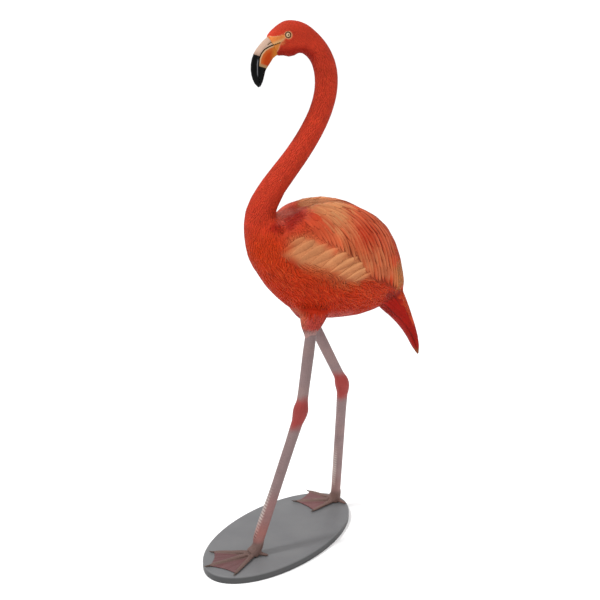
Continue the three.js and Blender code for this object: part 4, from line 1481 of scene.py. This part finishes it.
for side, word in ((1, "left"), (-1, "right")):
    bm = bmesh.new()
    bmesh.ops.create_uvsphere(bm, u_segments=48, v_segments=40, radius=EYE_RADIUS)
    rotate(bm, bm.verts, (0, 1, 0), math.pi / 2)
    bmesh.ops.translate(bm, verts=bm.verts, vec=(EYE_PLACE[0] * side, EYE_PLACE[1], EYE_PLACE[2]))
    ball = as_object(bm, "eyeball_" + word)
    ring = ring_distance(coordinates(ball))
    colour = np.tile(pigment("#B0906C"), (len(ring), 1))
    colour = over(colour, "#CDB28C", fall(np.abs(ring - 0.0034), 0.0006, 0.0016))
    colour = over(colour, "#2A1A0E", smooth_step(ring, 0.0052, 0.0060))
    colour = over(colour, "#120C08", fall(ring, 0.0014, 0.0020))
    set_colour(ball, colour)
    finish_piece(ball, eye_glass, "eye", ["eye_" + word])
    bm = bmesh.new()
    bmesh.ops.create_circle(bm, cap_ends=False, segments=10, radius=LID_THICKNESS)
    bmesh.ops.translate(bm, verts=bm.verts, vec=(0, LID_RING, 0))
    rotate(bm, bm.verts, (0, 0, 1), -math.pi / 2)
    rotate(bm, bm.verts, (1, 0, 0), math.pi / 2)
    bmesh.ops.spin(bm, geom=bm.verts[:] + bm.edges[:], cent=(0, 0, 0), axis=(0, 0, 1), dvec=(0, 0, 0),
                   angle=2 * math.pi, steps=40, use_merge=True)
    bmesh.ops.remove_doubles(bm, verts=bm.verts, dist=0.01 * MM)
    bmesh.ops.recalc_face_normals(bm, faces=bm.faces)
    rotate(bm, bm.verts, (0, 1, 0), math.pi / 2)
    bmesh.ops.scale(bm, verts=bm.verts, vec=(1, 1.06, 0.94))
    bmesh.ops.translate(bm, verts=bm.verts, vec=(LID_OUT * side, EYE_PLACE[1], EYE_PLACE[2]))
    lid = as_object(bm, "eyelid_" + word)
    set_colour(lid, np.tile(pigment("#33200F"), (len(lid.data.vertices), 1)))
    finish_piece(lid, eye_glass, "eye")

# %% [markdown]
# ## Legs and feet
# Bare legs are scaly skin: a row of overlapping plates down the front of the lower leg
# and along the toes, fine round scales elsewhere, and webs with soft radial wrinkles.
# Shin, ankle joint, lower leg and foot are one casting, so copies of the four solids
# are wrapped in one surface, and plates and wrinkles are raised from it. Each leg's cut
# top is narrowed a little and drawn up into the thigh.

# %% Shape and paint of the legs
LEGS = {  # toes, from the inner one, as (length, spread in degrees); the leg's paint factor is painted shade, darker on the near (left) leg
    "left": dict(side=1, knee=(0.045, 0.087, 0.715), ankle=(0.062, 0.044, 0.429), heel=(0.090, -0.102),
                 turn=4.5, level=0.76, toes=[(0.127, -29), (0.147, 0), (0.112, 38)]),
    "right": dict(side=-1, knee=(-0.045, 0.082, 0.715), ankle=(-0.058, 0.218, 0.438), heel=(-0.103, 0.218),
                  turn=17.0, level=0.95, toes=[(0.099, -39), (0.131, 0), (0.105, 37)]),
}
LEG_TOP_RIM = 4 * MM  # the part of a leg's cut top that is drawn up into the thigh
LEG_TOP_REACH = 22 * MM
LEG_TOP_TAPER = 0.94
HIND_TOE = (0.036, -146)  # length, turn from the middle toe: to the left in both feet
PLATE_TOP = 0.022
SCUTE_PITCH = 8.0 * MM


def toe_ways(leg):
    """Each toe's direction on the plate, with its length, inner toe first and hind toe last."""
    turn = math.radians(180 + leg["side"] * leg["turn"])
    turns = [(length, -leg["side"] * spread) for length, spread in leg["toes"]] + [HIND_TOE]
    found = []
    for length, spread in turns:
        x, y = math.sin(math.radians(spread)), math.cos(math.radians(spread))
        way = [x * math.cos(turn) - y * math.sin(turn), x * math.sin(turn) + y * math.cos(turn)]
        found.append((np.array(way), length))
    return found


def leg_axis(leg, z):
    """Middle of the lower leg at height z, and beyond it."""
    foot = np.array([*leg["heel"], 0.05])
    share = (z - foot[2]) / (leg["ankle"][2] - foot[2])
    return foot[None, :2] + share[:, None] * (np.array(leg["ankle"])[None, :2] - foot[None, :2])


def scute_wave(distance, pitch):
    """A row of overlapping plates: 0 at each joint, rising to 1 towards the next."""
    phase = (distance / pitch) % 1.0
    return smooth_step(phase, 0.0, 0.35) * (1 - 0.5 * smooth_step(phase, 0.5, 1.0))


def leg_relief_and_paint(leg, points):
    """How far each point of a leg is raised, and its paint."""
    x, y, z = points.T
    axis = leg_axis(leg, z)
    around = np.arctan2(x - axis[:, 0], -(y - axis[:, 1]))
    ankle_z = leg["ankle"][2]
    shank = smooth_step(z, 0.075, 0.10) * fall(z, ankle_z - 0.05, ankle_z - 0.02)
    near_side = leg["side"] > 0
    front = fall(np.abs(around), 0.75, 1.15)
    plates = scute_wave(z + 0.002 * np.abs(around), SCUTE_PITCH)
    relief = 0.55 * MM * shank * front * (plates - 0.3)
    shin_edge = fall(np.abs(around), 0.5, 1.7)
    swell = 4.0 * MM * near_side * shin_edge * smooth_step(z, 0.055, 0.080)
    relief = relief + swell * fall(z, 0.10, 0.23)
    pebble = ripple(points, 330, 4.0)
    relief = relief + 0.12 * MM * pebble * (1 - front * shank)
    colour = np.tile(pigment("#957D7C"), (len(points), 1))
    colour = over(colour, "#A08480", 0.6 * smooth_step(ripple(points, 16, 6.0), 0.0, 0.5))
    edge = front * shank * smooth_step(plates, 0.45, 0.8) * fall(around * leg["side"], 0.6, 1.0)
    pale = edge * fall(z, 0.16, 0.24)
    colour = over(colour, "#D2C2BA", 0.9 * pale)
    joint_line = front * shank * fall(plates, 0.02, 0.25)
    colour = over(colour, "#6E4F4E", 0.55 * joint_line)
    hock = fall(np.abs(z - ankle_z + 0.004 + 0.006 * ripple(points, 60, 3.0)), 0.024, 0.058)
    colour = over(colour, "#A6423E", hock)
    blush = smooth_step(around * leg["side"], 0.3, 0.9) * smooth_step(z, 0.075, 0.09) * fall(z, 0.17, 0.23)
    colour = over(colour, "#A8706C", (0.5 if near_side else 0.2) * blush)
    feathered = smooth_step(z + 0.008 * ripple(points, 60, 7.0), 0.640, 0.664)
    colour = over(colour, "#A24A42", 0.75 * feathered)
    upper = smooth_step(z, ankle_z + 0.06, ankle_z + 0.20)
    colour = colour * (1 - 0.08 * upper[:, None] * (1 - feathered[:, None]))
    foot = fall(z, 0.052, 0.078)
    colour = over(colour, "#7E635C", foot)
    salmon = smooth_step(z, 0.056, 0.072) * fall(z, 0.092, 0.14)
    colour = over(colour, "#B06C62", (0.6 if near_side else 0.2) * salmon)
    dash = fall(plates, 0.3, 0.9) * smooth_step(z, 0.070, 0.073) * fall(z, 0.094, 0.097)
    dash = dash * fall(np.abs(around - 0.30 * leg["side"]), 0.3, 0.5)
    colour = over(colour, "#3A2A28", 0.8 * dash)
    heel = np.array(leg["heel"])
    rel = points[:, :2] - heel
    distance = np.linalg.norm(rel, axis=1)
    toe_share = np.zeros(len(points))
    for way, length in toe_ways(leg):
        along = rel @ way
        across = np.abs(rel @ np.array([-way[1], way[0]]))
        radius = np.interp(along, [0, 0.45 * length, length], [0.0105, 0.0085, 0.0055])
        on = fall(across, radius * 0.8, radius * 1.15) * smooth_step(along, 0.0, 0.012)
        on = on * (along < length + 0.004)
        toe_share = np.maximum(toe_share, on)
        bands = scute_wave(along, 6 * MM)
        low = foot * on * smooth_step(z, PLATE_TOP + 0.003, PLATE_TOP + 0.006)
        relief = relief + 0.45 * MM * low * (bands - 0.3)
        colour = over(colour, "#6C5A4E", 0.5 * low * fall(bands, 0.02, 0.3) * smooth_step(along, 0.02, 0.04))
    web = foot * (1 - toe_share) * smooth_step(distance, 0.022, 0.045)
    bearing = np.arctan2(rel[:, 0], rel[:, 1])
    folds = np.stack([bearing * 0.35, distance * 0.25, np.zeros(len(points))], axis=1)
    wrinkle = ripple(folds, 60, 2.0)
    relief = relief + 0.5 * MM * web * wrinkle
    colour = over(colour, "#80595A", 0.9 * web)
    colour = over(colour, "#6C4243", 0.5 * web * smooth_step(wrinkle, 0.0, 0.4))
    # painted shadow: the toes' lowest few millimetres, where they meet the plate, are painted near black
    sole_contact_shade = fall(z, PLATE_TOP + 0.0012, PLATE_TOP + 0.004) * (1 - web)
    colour = over(colour, "#4A3A33", 0.8 * sole_contact_shade)
    # painted shade: each leg's paint is darkened by its factor, the near leg most
    return relief, colour * leg["level"]


print("toes", {word: len(toe_ways(leg)) for word, leg in LEGS.items()})

# %% Leg skins
scaly = painted_resin("satin_acrylic_on_scaly_leg", 2.4, 0.12, 0.07, 2.6, 0.5, 0.25, scales=True)
LEG_VOXEL = 1.55 * MM

for word, leg in LEGS.items():
    nodes = [f"{part}_{word}" for part in ("tibia", "ankle", "tarsus", "foot")]
    bm = merged_copy(nodes, 0.4 * MM)
    ankle = Vector(leg["ankle"])
    shin = (Vector(leg["knee"]) - ankle).normalized()
    top = max((vert.co - ankle).dot(shin) for vert in bm.verts)
    for vert in bm.verts:
        along = (vert.co - ankle).dot(shin)
        if along > top - LEG_TOP_RIM:
            middle = ankle + shin * along
            vert.co = middle + (vert.co - middle) * LEG_TOP_TAPER + shin * LEG_TOP_REACH
    piece = remeshed(bm, "skin_leg_" + word, LEG_VOXEL)
    relax(piece, 7)
    points = coordinates(piece)
    relief, colour = leg_relief_and_paint(leg, points)
    set_coordinates(piece, points + normals(piece) * relief[:, None])
    set_colour(piece, colour)
    finish_piece(piece, scaly, "leg_skin", nodes)

# %% [markdown]
# ## Claws
# Each toe ends in a small blunt claw, darker than the toe. A claw is a cone cut into
# rings and bent downwards.

# %% Claws
claw_horn, tree, surface = new_material("satin_brown_claw_paint")
streak = noise_of(tree, place_of(tree), 700.0, 2.0)
set_inputs(tree, surface, {
    "Base Color": two_tones(tree, streak, "#3A2C26", "#6B5548"),
    "Roughness": 0.4,
    "Specular IOR Level": 0.35,
})

CLAW_SHARE = 0.078  # a claw's length, as a share of its toe's
CLAW_CUTS = (-0.25, 0.0, 0.25)  # where each cone is cut into rings, as shares of its depth
CLAW_BEND = 0.16
CLAW_HEIGHT = 3.2 * MM


def claw_cone(bm, depth):
    """A cone along Z in rings, bent to one side, and its points."""
    cone = bmesh.ops.create_cone(bm, cap_ends=True, cap_tris=False, segments=12,
                                 radius1=2.6 * MM, radius2=0.5 * MM, depth=depth)["verts"]
    for share in CLAW_CUTS:
        edges = {e for v in cone for e in v.link_edges}
        faces = {f for v in cone for f in v.link_faces}
        cut = bmesh.ops.bisect_plane(bm, geom=[*cone, *edges, *faces],
                                     plane_co=(0, 0, share * depth), plane_no=(0, 0, 1))
        cone = cone + [g for g in cut["geom_cut"] if isinstance(g, bmesh.types.BMVert)]
    for vert in cone:
        vert.co.x -= CLAW_BEND * (vert.co.z / depth + 0.5) ** 2 * depth
    return cone


for word, leg in LEGS.items():
    bm = bmesh.new()
    for way, length in toe_ways(leg):
        claw = length * CLAW_SHARE
        cone = claw_cone(bm, 1.3 * claw + 3 * MM)
        tip_down = Quaternion((0, 1, 0), math.pi / 2).to_matrix()
        along_toe = Quaternion((0, 0, 1), math.atan2(way[1], way[0])).to_matrix()
        bmesh.ops.rotate(bm, verts=cone, cent=(0, 0, 0), matrix=along_toe @ tip_down)
        x, y = np.array(leg["heel"]) + way * (length - claw * 0.35)
        bmesh.ops.translate(bm, verts=cone, vec=(x, y, PLATE_TOP + CLAW_HEIGHT))
    bmesh.ops.recalc_face_normals(bm, faces=bm.faces)
    claws = as_object(bm, "claws_" + word)
    finish_piece(claws, claw_horn, "foot_skin")

# %% [markdown]
# ## Plate
# The statue stands on an oval plate of cast resin sprayed a satin mid grey. Its size and
# turn are read from the solid; a rounded rim and a slight mottle finish it.

# %% Plate
low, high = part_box("stand_base")
rim = np.array([v.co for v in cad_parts["stand_base"].data.vertices])[:, :2]
rim = rim - (rim.max(0) + rim.min(0)) / 2
longest = rim[np.argmax(np.linalg.norm(rim, axis=1))]
half_long = np.linalg.norm(longest)
cross_way = np.array([-longest[1], longest[0]]) / half_long
half_short = np.abs(rim @ cross_way).max()
bm = bmesh.new()
bmesh.ops.create_circle(bm, cap_ends=True, segments=160, radius=1)
bmesh.ops.scale(bm, verts=bm.verts, vec=(half_long, half_short, 1))
rotate(bm, bm.verts, (0, 0, 1), math.atan2(longest[1], longest[0]))
bmesh.ops.translate(bm, verts=bm.verts, vec=((low.x + high.x) / 2, (low.y + high.y) / 2, 0))
raised = bmesh.ops.extrude_face_region(bm, geom=bm.faces[:])
top_verts = [g for g in raised["geom"] if isinstance(g, bmesh.types.BMVert)]
bmesh.ops.translate(bm, verts=top_verts, vec=(0, 0, high.z))
bmesh.ops.recalc_face_normals(bm, faces=bm.faces)
top_rim = [e for e in bm.edges if all(v.co.z > high.z - MM for v in e.verts)]
bmesh.ops.bevel(bm, geom=top_rim, offset=4 * MM, segments=5, profile=0.5, material=-1, affect="EDGES")
foot_rim = [e for e in bm.edges if all(v.co.z < MM for v in e.verts)]
bmesh.ops.bevel(bm, geom=foot_rim, offset=1 * MM, segments=2, profile=0.5, material=-1, affect="EDGES")
plate = as_object(bm, "base_plate")
plate_paint, tree, surface = new_material("satin_grey_spray_on_resin")
place = place_of(tree)
mottle = two_tones(tree, noise_of(tree, place, 14.0, 5.0), "#727274", "#7A7A7B", 0.3, 0.7)
height = add_node(tree, "ShaderNodeSeparateXYZ", {"Vector": place})
# painted shade: the plate's side is painted much darker than its top
plate_side_shade = mapped(tree, height.outputs["Z"], 0.38, 1.0, 0.0165, 0.0205)
spray = noise_of(tree, place, 600.0, 2.0)
set_inputs(tree, surface, {
    "Base Color": toned(tree, mottle, plate_side_shade),
    "Normal": bump_of(tree, spray, 0.15, 0.4 * MM),
    "Roughness": 0.45,
    "Specular IOR Level": 0.3,
})
finish_piece(plate, plate_paint, "base_paint", ["stand_base"])

# %% [markdown]
# ## Floor
# The floor is only there to stand on: a pale matt sheet much larger than the view.

# %% Floor
bm = bmesh.new()
bmesh.ops.create_grid(bm, x_segments=1, y_segments=1, size=40)
floor = as_object(bm, "floor")
floor_paint, tree, surface = new_material("matt_white_backdrop_paper")
paper = add_node(tree, "ShaderNodeTexNoise", {"Scale": 4.0}).outputs["Fac"]
set_inputs(tree, surface, {
    "Base Color": mapped(tree, paper, 0.96, 0.98, 0, 1),
    "Roughness": 0.9,
    "Specular IOR Level": 0.1,
})
floor.data.materials.append(floor_paint)
print("floor ready")
